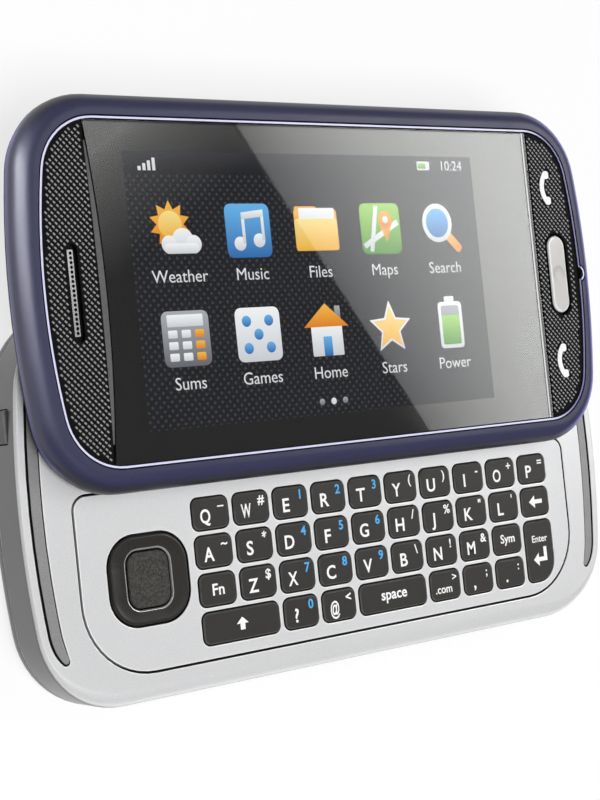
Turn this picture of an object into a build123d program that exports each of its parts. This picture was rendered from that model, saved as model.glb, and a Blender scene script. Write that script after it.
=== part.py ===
"""Landscape slider phone: a touch-screen half that slides up off a keyboard half.

Millimetres. X runs along the length, Y up the screen and Z out of the screen.
The phone lies on its back with the keyboard open. The origin is at the middle
of its footprint, on the surface that it lies on.
"""

import os
from math import sqrt

from build123d import *

# Display, and what lies between it and the outside of the screen half
display_length = 65.3
display_width = 39.2
display_border = 2.2
glass_left = 6.23
glass_right = 12.37
glass_side = 4.8
earpiece_panel_width = 8.55
rocker_panel_width = 9.85
bezel_end = 3.05
bezel_side = 3.3

# Plan of the two halves
slider_corner = 12.0
end_bow = 3.0
slide_travel = 29.0
base_end_reveal = 1.0
base_side_reveal = 0.5

# Clearances: seats within one half, keys in their windows, parts that rest close, cuts past a face
fit_gap = 0.05
key_gap = 0.15
rest_gap = 0.05
overrun = 1.0
pick_tolerance = 0.001

# A quarter round cut as three flat bands takes these shares of its radius
rim_first_share = 0.586
rim_second_share = 0.215

# Keyboard half, from the back upwards
cover_floor = 1.0
cover_wall = 1.3
cover_height = 3.0
cover_edge_round = 2.2
battery_length = 54.0
battery_width = 38.0
battery_thickness = 4.4
battery_shift = 6.0
bay_web = 0.8
board_thickness = 0.8
board_gap = 0.2
mat_thickness = 0.5
key_travel = 0.4
flange_thickness = 0.4
fascia_thickness = 1.0
deck_edge = 0.5
slide_gap = 0.5

# Keyboard fascia and its ledge
fascia_end_inset = 7.6
fascia_side_inset = 3.9
fascia_tuck = 0.2
fascia_gap = 0.25
fascia_ledge = 1.2
fascia_low_corner = 9.5
fascia_high_corner = 2.0

# Keys
key_space_x = 0.94
key_space_y = 0.85
key_clip = 0.7
key_chamfer = 0.2
key_proud = 0.2
key_margin_right = 4.8
key_margin_low = 2.4
key_margin_high = 2.25
flange_overlap = 0.2
tail_inset = 5.5
keyboard_rows = [
    ["q", "w", "e", "r", "t", "y", "u", "i", "o", "p"],
    ["a", "s", "d", "f", "g", "h", "j", "k", "l", "backspace"],
    ["function", "z", "x", "c", "v", "b", "n", "m", "symbol", "enter"],
    ["shift", "question", "at", "space", "dotcom", "comma", "period"],
]
keys_two_columns_wide = ["shift", "space"]
keys_two_rows_tall = ["enter"]

# Direction pad
dpad_length = 12.9
dpad_width = 12.6
dpad_corner = 4.4
dpad_margin = 5.0
dpad_space = 1.54
dpad_lift = 0.25
dpad_gap = 0.2
dpad_chamfer = 0.25
dpad_flange_clip = 2.4
dpad_centre_length = 7.2
dpad_centre_width = 8.4
dpad_centre_corner = 2.0

# Inlaid strips at the ends of the deck
strip_outer_inset = 1.8
strip_inner_inset = 4.0
strip_end_inset = 7.2
strip_tip_clip = 0.6
strip_depth = 0.5
strip_gap = 0.15

# Power key in the left end wall
power_length = 4.6
power_height = 2.2
power_depth = 1.9
power_proud = 0.42
power_travel = 0.3
power_side_inset = 16.2
power_chamfer = 0.2

# Camera and loudspeaker outlet in the back
camera_block = 9.0
camera_height = 4.0
camera_barrel = 3.6
camera_window = 2.2
camera_recess = 0.25
camera_dish = 0.4
camera_gap = 0.2
camera_end_inset = 17.2
camera_side_inset = 13.2
outlet_slots = 5
outlet_slot_length = 7.0
outlet_slot_width = 0.9
outlet_pitch = 1.8
outlet_end_inset = 13.2
outlet_side_inset = 16.2

# Charging socket in the right end wall
socket_width = 7.6
socket_height = 2.8
socket_depth = 5.2
socket_clip = 0.8
socket_wall = 0.3
socket_mouth = 4.2
socket_recess = 0.25
tongue_width = 3.8
tongue_thickness = 0.6
tongue_lift = 0.4

# Sliding mechanism
rail_end_inset = 28.2
rail_lip = 0.4
rail_roof = 0.3
rail_wall = 0.6
rail_end_wall = 0.3
shoe_play = 0.1
shoe_side_play = 0.2
shoe_end_play = 0.7
shoe_width = 4.8
shoe_head = 0.5
shoe_stem = 1.8
stem_play = 0.3
plate_thickness = 0.6
plate_edge = 0.8
plate_side = 3.0

# Screen half, from its underside upwards
back_flange = 0.8
back_inset = 0.3
frame_wall = 2.2
mid_plate = 0.8
display_thickness = 2.05
lens_thickness = 1.0
bezel_rise = 0.2
bezel_round = 2.0
bezel_chamfer = 0.2

# Bright trim round the screen, with the microphone notch at its right end
trim_line = 0.5
trim_rise = 0.1
notch_radius = 1.0

# Glass
lens_gap = 0.1
lens_bevel_left = 1.2
lens_bevel_right = 0.9
lens_bevel_drop = 0.35

# Earpiece panel
earpiece_inset = 5.15
earpiece_length = 13.4
earpiece_width = 1.6
earpiece_bar = 0.7
earpiece_notches = 13
earpiece_notch_share = 0.5

# Call and end rocker, with the oblong key in the middle of it
rocker_thickness = 0.65
rocker_gap = 0.2
rocker_rib = 0.6
nav_length = 12.9
nav_width = 3.5
nav_inset = 5.25
nav_recess = 0.45
nav_proud = 0.12
nav_chamfer = 0.3
nav_dish_radius = 6.0
nav_dish_depth = 0.12

# Plan sizes that follow from the display outwards
trim_length = earpiece_panel_width + glass_left + display_length + glass_right + rocker_panel_width
trim_width = display_width + 2 * glass_side
trim_corner = slider_corner - bezel_end
slider_length = trim_length + 2 * bezel_end
slider_width = trim_width + 2 * bezel_side
base_length = slider_length + 2 * base_end_reveal
base_width = slider_width + 2 * base_side_reveal
base_corner = slider_corner + base_end_reveal
end_radius = ((base_width / 2) ** 2 + end_bow**2) / (2 * end_bow)
module_length = display_length + 2 * display_border
module_width = display_width + 2 * display_border

# Levels that follow from the thicknesses
bay_top = cover_floor + battery_thickness
well_floor = bay_top + bay_web
mat_floor = well_floor + board_thickness
mat_top = mat_floor + mat_thickness
flange_floor = mat_top + key_travel + rest_gap
flange_top = flange_floor + flange_thickness
ledge_level = flange_top + rest_gap
deck_level = ledge_level + fascia_thickness
key_top = deck_level + key_proud
slider_floor = deck_level + slide_gap
rail_height = rail_lip + shoe_play + shoe_head + shoe_play + rail_roof
back_top = slider_floor + rail_height
frame_floor = slider_floor + back_flange
lens_floor = back_top + display_thickness
glass_level = lens_floor + lens_thickness
bezel_crest = glass_level + bezel_rise
rocker_floor = glass_level - rocker_thickness

# Places across the screen
base_y = (base_width - slider_width) / 4 - slide_travel / 2
slider_y = base_y + slide_travel
base_low_y = base_y - base_width / 2
base_high_y = base_y + base_width / 2
shoe_y = base_y + slide_travel / 2

# Places along the screen half
lens_left_x = earpiece_panel_width - trim_length / 2
lens_right_x = trim_length / 2 - rocker_panel_width
display_x = lens_left_x + glass_left + display_length / 2
earpiece_x = earpiece_inset - trim_length / 2
nav_x = trim_length / 2 - nav_inset
rail_spacing = slider_length - 2 * rail_end_inset

# Fascia, keys and direction pad share out the deck that the slider leaves bare
fascia_length = base_length - 2 * fascia_end_inset
fascia_low = base_low_y + fascia_side_inset
fascia_high = slider_y - slider_width / 2 + fascia_tuck
key_columns = len(keyboard_rows[0])
key_rows = len(keyboard_rows)
key_field_length = fascia_length - dpad_margin - dpad_length - dpad_space - key_margin_right
key_field_width = fascia_high - fascia_low - key_margin_low - key_margin_high
key_pitch_x = (key_field_length + key_space_x) / key_columns
key_pitch_y = (key_field_width + key_space_y) / key_rows
key_width = key_pitch_x - key_space_x
key_height = key_pitch_y - key_space_y
first_column_x = fascia_length / 2 - key_margin_right - key_width / 2 - (key_columns - 1) * key_pitch_x
first_row_y = fascia_high - key_margin_high - key_height / 2
last_row_y = fascia_low + key_margin_low + key_height / 2
tail_corner = fascia_low_corner - tail_inset
dpad_x = dpad_margin + dpad_length / 2 - fascia_length / 2
dpad_y = (first_row_y + last_row_y) / 2 + dpad_lift

# Sliding mechanism: the shoes reach the same distance from the rails' ends at both limits
rail_half = slider_width / 2 - frame_wall - rail_end_wall
shoe_length = 2 * (rail_half - shoe_end_play) - slide_travel
shoe_floor = slider_floor + rail_lip + shoe_play
rail_width = shoe_width + 2 * shoe_side_play + 2 * rail_wall
plate_length = rail_spacing + shoe_width + 2 * plate_side
plate_width = shoe_length + 2 * plate_edge

# Back: the camera and the loudspeaker outlet keep to the corners
camera_x = base_length / 2 - camera_end_inset
camera_y = base_high_y - camera_side_inset
outlet_x = outlet_end_inset - base_length / 2
outlet_y = base_high_y - outlet_side_inset


def level(height, y=0, x=0):
    """A plane parallel to the deck at a height, centred on a place."""
    return Plane((x, y, height))


def body_plan(length, width, corner, inset=0):
    """Plan of one half: straight long sides, bowed short ends and round corners."""
    corner_x = length / 2 - end_bow
    corner_y = width / 2
    with BuildSketch() as plan:
        with BuildLine():
            Line((-corner_x, corner_y), (corner_x, corner_y))
            ThreePointArc((corner_x, corner_y), (length / 2, 0), (corner_x, -corner_y))
            Line((corner_x, -corner_y), (-corner_x, -corner_y))
            ThreePointArc((-corner_x, -corner_y), (-length / 2, 0), (-corner_x, corner_y))
        make_face()
        fillet(plan.vertices(), corner)
        if inset:
            offset(amount=-inset)
    return plan.sketch


def base_plan(inset=0):
    """Plan of the keyboard half, drawn in by an inset."""
    return body_plan(base_length, base_width, base_corner, inset)


def slider_plan(inset=0):
    """Plan of the screen half, drawn in by an inset."""
    return body_plan(slider_length, slider_width, slider_corner, inset)


def trim_plan(inset=0):
    """Plan inside the bezel, without the microphone notch."""
    return body_plan(trim_length, trim_width, trim_corner, inset)


def opening_plan(inset=0):
    """Plan of the bezel's opening, with the round notch at its right end."""
    with BuildSketch() as plan:
        add(trim_plan(inset))
        with Locations((trim_length / 2 - trim_line, 0)):
            Circle(notch_radius + trim_line - inset)
    return plan.sketch


def fascia_plan(inset=0):
    """Plan of the keyboard fascia, in place, drawn in by an inset."""
    height = fascia_high - fascia_low
    with BuildSketch(level(0, (fascia_high + fascia_low) / 2)) as plan:
        Rectangle(fascia_length - 2 * inset, height - 2 * inset)
        corners = plan.vertices().group_by(Axis.Y)
        fillet(corners[0], fascia_low_corner - inset)
        fillet(plan.vertices().group_by(Axis.Y)[-1], fascia_high_corner)
    return plan.sketch


def strip_plan(grow=0):
    """Plan of the two end strips: slices of a band that follows the deck's edge."""
    with BuildSketch(level(0, base_y)) as plan:
        add(base_plan(strip_outer_inset - grow))
        add(base_plan(strip_inner_inset + grow), mode=Mode.SUBTRACT)
        Rectangle(base_length, base_width - 2 * (strip_end_inset - grow), mode=Mode.INTERSECT)
        tips = plan.vertices().group_by(Axis.Y)
        chamfer(tips[0] + tips[-1], strip_tip_clip)
    return plan.sketch


def key_places():
    """Name, column, row, columns wide and rows tall of every key, row by row."""
    places = []
    for row, names in enumerate(keyboard_rows):
        column = 0
        for name in names:
            columns = 2 if name in keys_two_columns_wide else 1
            rows = 2 if name in keys_two_rows_tall else 1
            places.append((name, column, row, columns, rows))
            column += columns
    return places


def key_plan(column, row, columns, rows, grow=0, clip=key_clip):
    """Plan of one key, in place. A tall key's low right corner follows the fascia's."""
    width = key_width + (columns - 1) * key_pitch_x
    height = key_height + (rows - 1) * key_pitch_y
    x = first_column_x + (column + (columns - 1) / 2) * key_pitch_x
    y = first_row_y - (row + (rows - 1) / 2) * key_pitch_y
    with BuildSketch(level(0, y, x)) as plan:
        Rectangle(width, height)
        square = plan.vertices().sort_by_distance((width / 2, -height / 2))
        if clip:
            chamfer(square[1:] if rows > 1 else square, clip)
        if rows > 1:
            fillet(plan.vertices().sort_by_distance((width / 2, -height / 2))[0], tail_corner)
        if grow:
            offset(amount=grow, kind=Kind.INTERSECTION)
    return plan.sketch


def dpad_plan(grow=0):
    """Plan of the direction ring's outside, in place."""
    with BuildSketch(level(0, dpad_y, dpad_x)) as plan:
        RectangleRounded(dpad_length + 2 * grow, dpad_width + 2 * grow, dpad_corner + grow)
    return plan.sketch


def dpad_flange_plan():
    """Plan of the direction ring's flange, with its corners clipped."""
    reach = 2 * (dpad_gap + flange_overlap)
    with BuildSketch(level(0, dpad_y, dpad_x)) as plan:
        Rectangle(dpad_length + reach, dpad_width + reach)
        chamfer(plan.vertices(), dpad_flange_clip)
    return plan.sketch


def dpad_centre_plan(grow=0):
    """Plan of the key in the middle of the direction ring, in place."""
    with BuildSketch(level(0, dpad_y, dpad_x)) as plan:
        RectangleRounded(
            dpad_centre_length + 2 * grow, dpad_centre_width + 2 * grow, dpad_centre_corner + grow
        )
    return plan.sketch


def socket_plan(grow=0):
    """Section of the charging socket's shell, with its two low corners clipped."""
    with BuildSketch() as plan:
        Rectangle(socket_width + 2 * grow, socket_height + 2 * grow)
        chamfer(plan.vertices().group_by(Axis.Y)[0], socket_clip)
    return plan.sketch


def edges_at(piece, height):
    """The edges of a piece that lie at one height."""
    return piece.edges().filter_by_position(Axis.Z, height - pick_tolerance, height + pick_tolerance)


def break_rim(piece, end, inward, size):
    """Cut the rim of the lowest (0) or highest (-1) face into three bands that follow a quarter round."""
    face = piece.faces().sort_by(Axis.Z)[end]
    wall_height = face.center().Z + inward * size * rim_first_share
    chamfer(face.outer_wire().edges(), size * rim_first_share)
    rim = piece.faces().sort_by(Axis.Z)[end].outer_wire().edges()
    chamfer(rim + edges_at(piece, wall_height), size * rim_second_share)


def save(piece, name):
    """Label a finished piece and write it to a file of its own."""
    piece.part.label = name
    export_step(piece.part, f"parts/{name}.step")


os.makedirs("parts", exist_ok=True)

# Power key: the end wall is bowed, so its place depends on how far along it sits
wall_middle = (cover_height + deck_level) / 2
power_y = base_high_y - power_side_inset
wall_sag = end_radius - sqrt(end_radius**2 - (power_y - base_y) ** 2)
power_seat_x = wall_sag - base_length / 2 - power_proud + power_depth
power_plane = Plane((power_seat_x, power_y, wall_middle), x_dir=(0, 1, 0), z_dir=(-1, 0, 0))
power_pocket_plane = power_plane.offset(-power_travel - rest_gap)

# Charging socket: it looks out of the middle of the right end
socket_x = base_length / 2 - socket_recess
socket_plane = Plane((socket_x, base_y, wall_middle), x_dir=(0, 1, 0), z_dir=(1, 0, 0))
socket_seat_plane = socket_plane.offset(-socket_depth)

# Base housing: the mid frame of the keyboard half
with BuildPart() as base_housing:
    with BuildSketch(level(cover_height, base_y)):
        add(base_plan())
    extrude(amount=deck_level - cover_height)
    chamfer(edges_at(base_housing, deck_level), deck_edge)
    with BuildSketch(level(cover_floor, base_y)):
        add(base_plan(cover_wall))
    extrude(amount=cover_height - cover_floor)
    with BuildSketch(level(ledge_level)):
        add(fascia_plan(-fascia_gap))
    extrude(amount=fascia_thickness + overrun, mode=Mode.SUBTRACT)
    with BuildSketch(level(well_floor)):
        add(fascia_plan(fascia_ledge))
    extrude(amount=deck_level - well_floor, mode=Mode.SUBTRACT)
    with BuildSketch(level(cover_floor - overrun, base_y, -battery_shift)):
        Rectangle(battery_length + 2 * fit_gap, battery_width + 2 * fit_gap)
    extrude(amount=battery_thickness + overrun, mode=Mode.SUBTRACT)
    with BuildSketch(level(deck_level - plate_thickness, shoe_y)):
        Rectangle(plate_length + 2 * fit_gap, plate_width + 2 * fit_gap)
    extrude(amount=plate_thickness + overrun, mode=Mode.SUBTRACT)
    with BuildSketch(level(deck_level - strip_depth)):
        add(strip_plan(strip_gap))
    extrude(amount=strip_depth + overrun, mode=Mode.SUBTRACT)
    with BuildSketch(level(cover_floor - overrun, camera_y, camera_x)):
        Rectangle(camera_block + 2 * fit_gap, camera_block + 2 * fit_gap)
    extrude(amount=camera_height + overrun, mode=Mode.SUBTRACT)
    with BuildSketch(power_pocket_plane):
        Rectangle(power_length + 2 * key_gap, power_height + 2 * key_gap)
    extrude(amount=power_depth + overrun, mode=Mode.SUBTRACT)
    with BuildSketch(socket_seat_plane):
        add(socket_plan(fit_gap))
    extrude(amount=socket_depth + overrun, mode=Mode.SUBTRACT)
save(base_housing, "base_housing")

# Rear cover: a shallow tray that wraps round the foot of the housing
with BuildPart() as rear_cover:
    with BuildSketch(level(0, base_y)):
        add(base_plan())
    extrude(amount=cover_height)
    break_rim(rear_cover, 0, 1, cover_edge_round)
    with BuildSketch(level(cover_floor, base_y)):
        add(base_plan(cover_wall - fit_gap))
    extrude(amount=cover_height, mode=Mode.SUBTRACT)
    with BuildSketch(level(0, camera_y, camera_x)):
        Circle(camera_barrel + camera_gap)
    extrude(amount=cover_height, mode=Mode.SUBTRACT)
    with BuildSketch(level(0, outlet_y, outlet_x)):
        with GridLocations(0, outlet_pitch, 1, outlet_slots):
            Rectangle(outlet_slot_length, outlet_slot_width)
    extrude(amount=cover_height, mode=Mode.SUBTRACT)
save(rear_cover, "rear_cover")

# Battery
with BuildPart() as battery:
    with BuildSketch(level(cover_floor, base_y, -battery_shift)):
        Rectangle(battery_length, battery_width)
    extrude(amount=battery_thickness)
save(battery, "battery")

# Camera: a square block with a round barrel that shows in the back
with BuildPart() as camera_module:
    with BuildSketch(level(cover_floor, camera_y, camera_x)):
        Rectangle(camera_block, camera_block)
    extrude(amount=camera_height)
    with BuildSketch(level(camera_recess, camera_y, camera_x)):
        Circle(camera_barrel)
    extrude(amount=cover_floor - camera_recess)
    with BuildSketch(level(camera_recess, camera_y, camera_x)):
        Circle(camera_window)
    extrude(amount=camera_dish, mode=Mode.SUBTRACT)
save(camera_module, "camera_module")

# Main board and keypad mat, stacked in the well under the keys
with BuildPart() as main_board:
    with BuildSketch(level(well_floor)):
        add(fascia_plan(fascia_ledge + board_gap))
    extrude(amount=board_thickness)
save(main_board, "main_board")

with BuildPart() as keypad_mat:
    with BuildSketch(level(mat_floor)):
        add(fascia_plan(fascia_ledge + board_gap))
    extrude(amount=mat_thickness)
save(keypad_mat, "keypad_mat")

# Keyboard fascia: a flush plate with a window for each key and for the direction ring
with BuildPart() as keypad_fascia:
    with BuildSketch(level(ledge_level)):
        add(fascia_plan())
        add(dpad_plan(dpad_gap), mode=Mode.SUBTRACT)
        for name, column, row, columns, rows in key_places():
            add(key_plan(column, row, columns, rows, key_gap), mode=Mode.SUBTRACT)
    extrude(amount=fascia_thickness)
save(keypad_fascia, "keypad_fascia")

# Keys: a chamfered cap on a flange that is too wide for its window
for name, column, row, columns, rows in key_places():
    with BuildPart() as key:
        with BuildSketch(level(flange_floor)):
            add(key_plan(column, row, columns, rows))
        extrude(amount=key_top - flange_floor)
        chamfer(key.faces().sort_by(Axis.Z)[-1].edges(), key_chamfer)
        with BuildSketch(level(flange_floor)):
            add(key_plan(column, row, columns, rows, key_gap + flange_overlap, clip=0))
        extrude(amount=flange_thickness)
    save(key, f"key_{name}")

# Direction ring: it tilts, so its flange floats midway between the mat and the fascia
ring_floor = (mat_top + ledge_level - flange_thickness) / 2
with BuildPart() as dpad_ring:
    with BuildSketch(level(ring_floor)):
        add(dpad_plan())
    extrude(amount=key_top - ring_floor)
    chamfer(dpad_ring.faces().sort_by(Axis.Z)[-1].edges(), dpad_chamfer)
    with BuildSketch(level(ring_floor)):
        add(dpad_flange_plan())
    extrude(amount=flange_thickness)
    with BuildSketch(level(ring_floor)):
        add(dpad_centre_plan(dpad_gap))
    extrude(amount=key_top, mode=Mode.SUBTRACT)
save(dpad_ring, "dpad_ring")

with BuildPart() as dpad_center:
    with BuildSketch(level(flange_floor)):
        add(dpad_centre_plan())
    extrude(amount=key_top - flange_floor)
    chamfer(dpad_center.faces().sort_by(Axis.Z)[-1].edges(), key_chamfer)
save(dpad_center, "dpad_center")

# Power key: an oblong that stands out of the left end wall
with BuildPart() as power_key:
    with BuildSketch(power_plane):
        Rectangle(power_length, power_height)
    extrude(amount=power_depth)
    chamfer(power_key.faces().sort_by(Axis.X)[0].edges(), power_chamfer)
save(power_key, "power_key")

# Charging socket: a folded shell round a contact tongue
with BuildPart() as charge_socket:
    with BuildSketch(socket_seat_plane):
        add(socket_plan())
    extrude(amount=socket_depth)
    with BuildSketch(socket_plane):
        add(socket_plan(-socket_wall))
    extrude(amount=-socket_mouth, mode=Mode.SUBTRACT)
    with BuildSketch(socket_seat_plane):
        with Locations((0, tongue_lift)):
            Rectangle(tongue_width, tongue_thickness)
    extrude(amount=socket_mouth)
save(charge_socket, "charge_socket")

# End strips
with BuildPart() as end_strips:
    with BuildSketch(level(deck_level - strip_depth)):
        add(strip_plan())
    extrude(amount=strip_depth - rest_gap)
save(end_strips, "end_strips")

# Slide plate: a sheet let into the deck, with two T-shaped shoes
with BuildPart() as slide_plate:
    with BuildSketch(level(deck_level - plate_thickness, shoe_y)):
        Rectangle(plate_length, plate_width)
    extrude(amount=plate_thickness)
    with BuildSketch(level(deck_level, shoe_y)):
        with GridLocations(rail_spacing, 0, 2, 1):
            Rectangle(shoe_stem, shoe_length)
    extrude(amount=shoe_floor - deck_level)
    with BuildSketch(level(shoe_floor, shoe_y)):
        with GridLocations(rail_spacing, 0, 2, 1):
            Rectangle(shoe_width, shoe_length)
    extrude(amount=shoe_head)
save(slide_plate, "slide_plate")

# Slide rails: two channels, open below, that the shoes run in
with BuildPart() as slide_rails:
    with BuildSketch(level(slider_floor, slider_y)):
        with GridLocations(rail_spacing, 0, 2, 1):
            Rectangle(rail_width, 2 * rail_half)
    extrude(amount=rail_height)
    with BuildSketch(level(slider_floor, slider_y)):
        with GridLocations(rail_spacing, 0, 2, 1):
            Rectangle(shoe_stem + 2 * stem_play, 2 * (rail_half + overrun))
    extrude(amount=rail_lip, mode=Mode.SUBTRACT)
    with BuildSketch(level(slider_floor + rail_lip, slider_y)):
        with GridLocations(rail_spacing, 0, 2, 1):
            Rectangle(shoe_width + 2 * shoe_side_play, 2 * (rail_half + overrun))
    extrude(amount=shoe_play + shoe_head + shoe_play, mode=Mode.SUBTRACT)
save(slide_rails, "slide_rails")

# Slider back: a stepped plate, with a slot for each rail
with BuildPart() as slider_back:
    with BuildSketch(level(slider_floor, slider_y)):
        add(slider_plan(back_inset))
    extrude(amount=back_flange)
    with BuildSketch(level(frame_floor, slider_y)):
        add(slider_plan(frame_wall + fit_gap))
    extrude(amount=back_top - frame_floor)
    with BuildSketch(level(slider_floor, slider_y)):
        with GridLocations(rail_spacing, 0, 2, 1):
            Rectangle(rail_width + 2 * fit_gap, 2 * (rail_half + fit_gap))
    extrude(amount=rail_height, mode=Mode.SUBTRACT)
save(slider_back, "slider_back")

# Slider frame: walls, the convex bezel and a mid plate with a window for the display
with BuildPart() as slider_frame:
    with BuildSketch(level(frame_floor, slider_y)):
        add(slider_plan())
    extrude(amount=bezel_crest - frame_floor)
    break_rim(slider_frame, -1, -1, bezel_round)
    with BuildSketch(level(lens_floor, slider_y)):
        add(opening_plan())
    extrude(amount=bezel_crest, mode=Mode.SUBTRACT)
    chamfer(slider_frame.faces().sort_by(Axis.Z)[-1].inner_wires()[0].edges(), bezel_chamfer)
    with BuildSketch(level(frame_floor, slider_y)):
        add(slider_plan(frame_wall))
    extrude(amount=lens_floor - mid_plate - frame_floor, mode=Mode.SUBTRACT)
    with BuildSketch(level(frame_floor, slider_y, display_x)):
        Rectangle(module_length + 2 * fit_gap, module_width + 2 * fit_gap)
    extrude(amount=bezel_crest, mode=Mode.SUBTRACT)
save(slider_frame, "slider_frame")

# Trim ring: the bright line round the screen, carried round the notch
with BuildPart() as trim_ring:
    with BuildSketch(level(lens_floor, slider_y)):
        add(opening_plan(fit_gap))
        add(opening_plan(trim_line), mode=Mode.SUBTRACT)
    extrude(amount=lens_thickness + trim_rise)
save(trim_ring, "trim_ring")

# Display module
with BuildPart() as display_module:
    with BuildSketch(level(back_top, slider_y, display_x)):
        Rectangle(module_length, module_width)
    extrude(amount=display_thickness)
save(display_module, "display_module")

# Touch lens: its two ends are ground to shallow crescents
lens_height = trim_width - 2 * (trim_line + lens_gap)
lens_ends = ((-1, -lens_left_x, lens_bevel_left), (1, lens_right_x, lens_bevel_right))
with BuildPart() as touch_lens:
    with BuildSketch(level(lens_floor, slider_y, (lens_left_x + lens_right_x) / 2)):
        Rectangle(lens_right_x - lens_left_x, lens_height)
    extrude(amount=lens_thickness)
    with BuildSketch(level(lens_floor, slider_y)):
        add(trim_plan(trim_line + lens_gap))
    extrude(amount=lens_thickness, mode=Mode.INTERSECT)
    for side, reach, bevel in lens_ends:
        radius = ((lens_height / 2) ** 2 + bevel**2) / (2 * bevel)
        centre_x = side * (reach - bevel + radius)
        past = overrun * bevel / lens_bevel_drop
        with BuildSketch(Plane((centre_x, slider_y, 0), x_dir=(-side, 0, 0), z_dir=(0, side, 0))):
            with BuildLine():
                Polyline(
                    (radius + past, glass_level + overrun),
                    (radius - bevel - past, glass_level - lens_bevel_drop - overrun),
                    (radius - bevel - past, glass_level + overrun),
                    close=True,
                )
            make_face()
        revolve(axis=Axis((centre_x, slider_y, 0), (0, 0, 1)), mode=Mode.SUBTRACT)
save(touch_lens, "touch_lens")

# Earpiece panel, and the notched bar that shows in its slot
with BuildPart() as earpiece_panel:
    with BuildSketch(level(lens_floor, slider_y)):
        add(trim_plan(trim_line + fit_gap))
        with Locations((lens_left_x - lens_gap, 0)):
            Rectangle(trim_length, trim_width, align=(Align.MAX, Align.CENTER), mode=Mode.INTERSECT)
        with Locations((earpiece_x, 0)):
            SlotOverall(earpiece_length, earpiece_width, rotation=90, mode=Mode.SUBTRACT)
    extrude(amount=lens_thickness)
save(earpiece_panel, "earpiece_panel")

notch_pitch = (earpiece_length - earpiece_width) / earpiece_notches
with BuildPart() as earpiece_grille:
    with BuildSketch(level(lens_floor, slider_y, earpiece_x)):
        Rectangle(earpiece_width - 2 * fit_gap, earpiece_length - earpiece_width)
    extrude(amount=earpiece_bar)
    with BuildSketch(level(lens_floor + earpiece_bar / 2, slider_y, earpiece_x)):
        with GridLocations(0, notch_pitch, 1, earpiece_notches):
            Rectangle(earpiece_width, notch_pitch * earpiece_notch_share)
    extrude(amount=earpiece_bar, mode=Mode.SUBTRACT)
save(earpiece_grille, "earpiece_grille")

# Call and end rocker: one panel that tips about the ribs beside the oblong key
with BuildPart() as call_end_rocker:
    with BuildSketch(level(rocker_floor, slider_y)):
        add(trim_plan(trim_line + rocker_gap))
        with Locations((lens_right_x + rocker_gap, 0)):
            Rectangle(trim_length, trim_width, align=(Align.MIN, Align.CENTER), mode=Mode.INTERSECT)
        with Locations((nav_x, 0)):
            SlotOverall(
                nav_length + 2 * nav_recess, nav_width + 2 * nav_recess, rotation=90, mode=Mode.SUBTRACT
            )
    extrude(amount=rocker_thickness)
    with BuildSketch(level(lens_floor + rest_gap, slider_y)):
        with Locations((lens_right_x + rocker_gap, 0)):
            Rectangle(trim_length, rocker_rib, align=(Align.MIN, Align.CENTER))
        add(trim_plan(trim_line + rocker_gap), mode=Mode.INTERSECT)
        with Locations((nav_x, 0)):
            Rectangle(nav_width + 2 * nav_recess, nav_length, mode=Mode.SUBTRACT)
    extrude(amount=rocker_floor - lens_floor - rest_gap)
save(call_end_rocker, "call_end_rocker")

# Oblong key with a shallow dish across its middle
nav_top = glass_level + nav_proud
with BuildPart() as nav_key:
    with BuildSketch(level(rocker_floor, slider_y, nav_x)):
        SlotOverall(nav_length, nav_width, rotation=90)
    extrude(amount=nav_top - rocker_floor)
    chamfer(nav_key.faces().sort_by(Axis.Z)[-1].edges(), nav_chamfer)
    with Locations((nav_x, slider_y, nav_top + nav_dish_radius - nav_dish_depth)):
        Cylinder(nav_dish_radius, 2 * nav_width, rotation=(0, 90, 0), mode=Mode.SUBTRACT)
save(nav_key, "nav_key")
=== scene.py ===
# %% [markdown]
# # A slider phone with a letter keyboard
#
# The CAD model is already packed, with every solid in its place. This lesson dresses it: smooth shells,
# rounded keys with printed legends, a lit screen under glass, and the finishes that make each of them
# look like what it is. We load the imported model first, because it fixes every size and place.

# %% Load the frame
from contextlib import contextmanager
from math import atan2, cos, pi, radians, sin, sqrt

import bmesh
import bpy
from mathutils import Euler, Matrix, Vector


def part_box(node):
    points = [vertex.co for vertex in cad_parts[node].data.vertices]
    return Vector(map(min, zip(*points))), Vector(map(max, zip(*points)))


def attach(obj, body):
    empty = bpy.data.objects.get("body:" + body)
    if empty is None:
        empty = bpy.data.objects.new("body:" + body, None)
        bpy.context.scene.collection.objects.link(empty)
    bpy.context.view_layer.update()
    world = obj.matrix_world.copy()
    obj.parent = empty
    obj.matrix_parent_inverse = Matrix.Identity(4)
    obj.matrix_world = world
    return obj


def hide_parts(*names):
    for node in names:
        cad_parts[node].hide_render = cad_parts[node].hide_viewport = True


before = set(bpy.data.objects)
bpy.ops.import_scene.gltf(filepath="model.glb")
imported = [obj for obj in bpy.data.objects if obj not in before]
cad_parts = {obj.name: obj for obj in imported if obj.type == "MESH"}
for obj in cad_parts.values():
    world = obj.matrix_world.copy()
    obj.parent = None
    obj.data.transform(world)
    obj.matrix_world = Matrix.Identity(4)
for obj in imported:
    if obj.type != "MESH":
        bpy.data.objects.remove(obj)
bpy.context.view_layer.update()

mm = 0.001
tiny = 0.002 * mm

# %% [markdown]
# ## Tools of the bench
#
# Nearly every piece of a phone is a flat outline with a height: a plate, a cap, a pocket. By hand you
# would add a circle, pull its points onto the outline, and extrude it. Then you round edges with Bevel
# and cut pockets with a Boolean modifier. These helpers do exactly that, so that each piece below reads
# as a few plain steps. Edges are picked in code, by where they lie.

# %% Selecting and extruding
def only(piece):
    """Select one object and nothing else, because operators act on all that is selected."""
    bpy.ops.object.select_all(action="DESELECT")
    piece.select_set(True)
    bpy.context.view_layer.objects.active = piece


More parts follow.
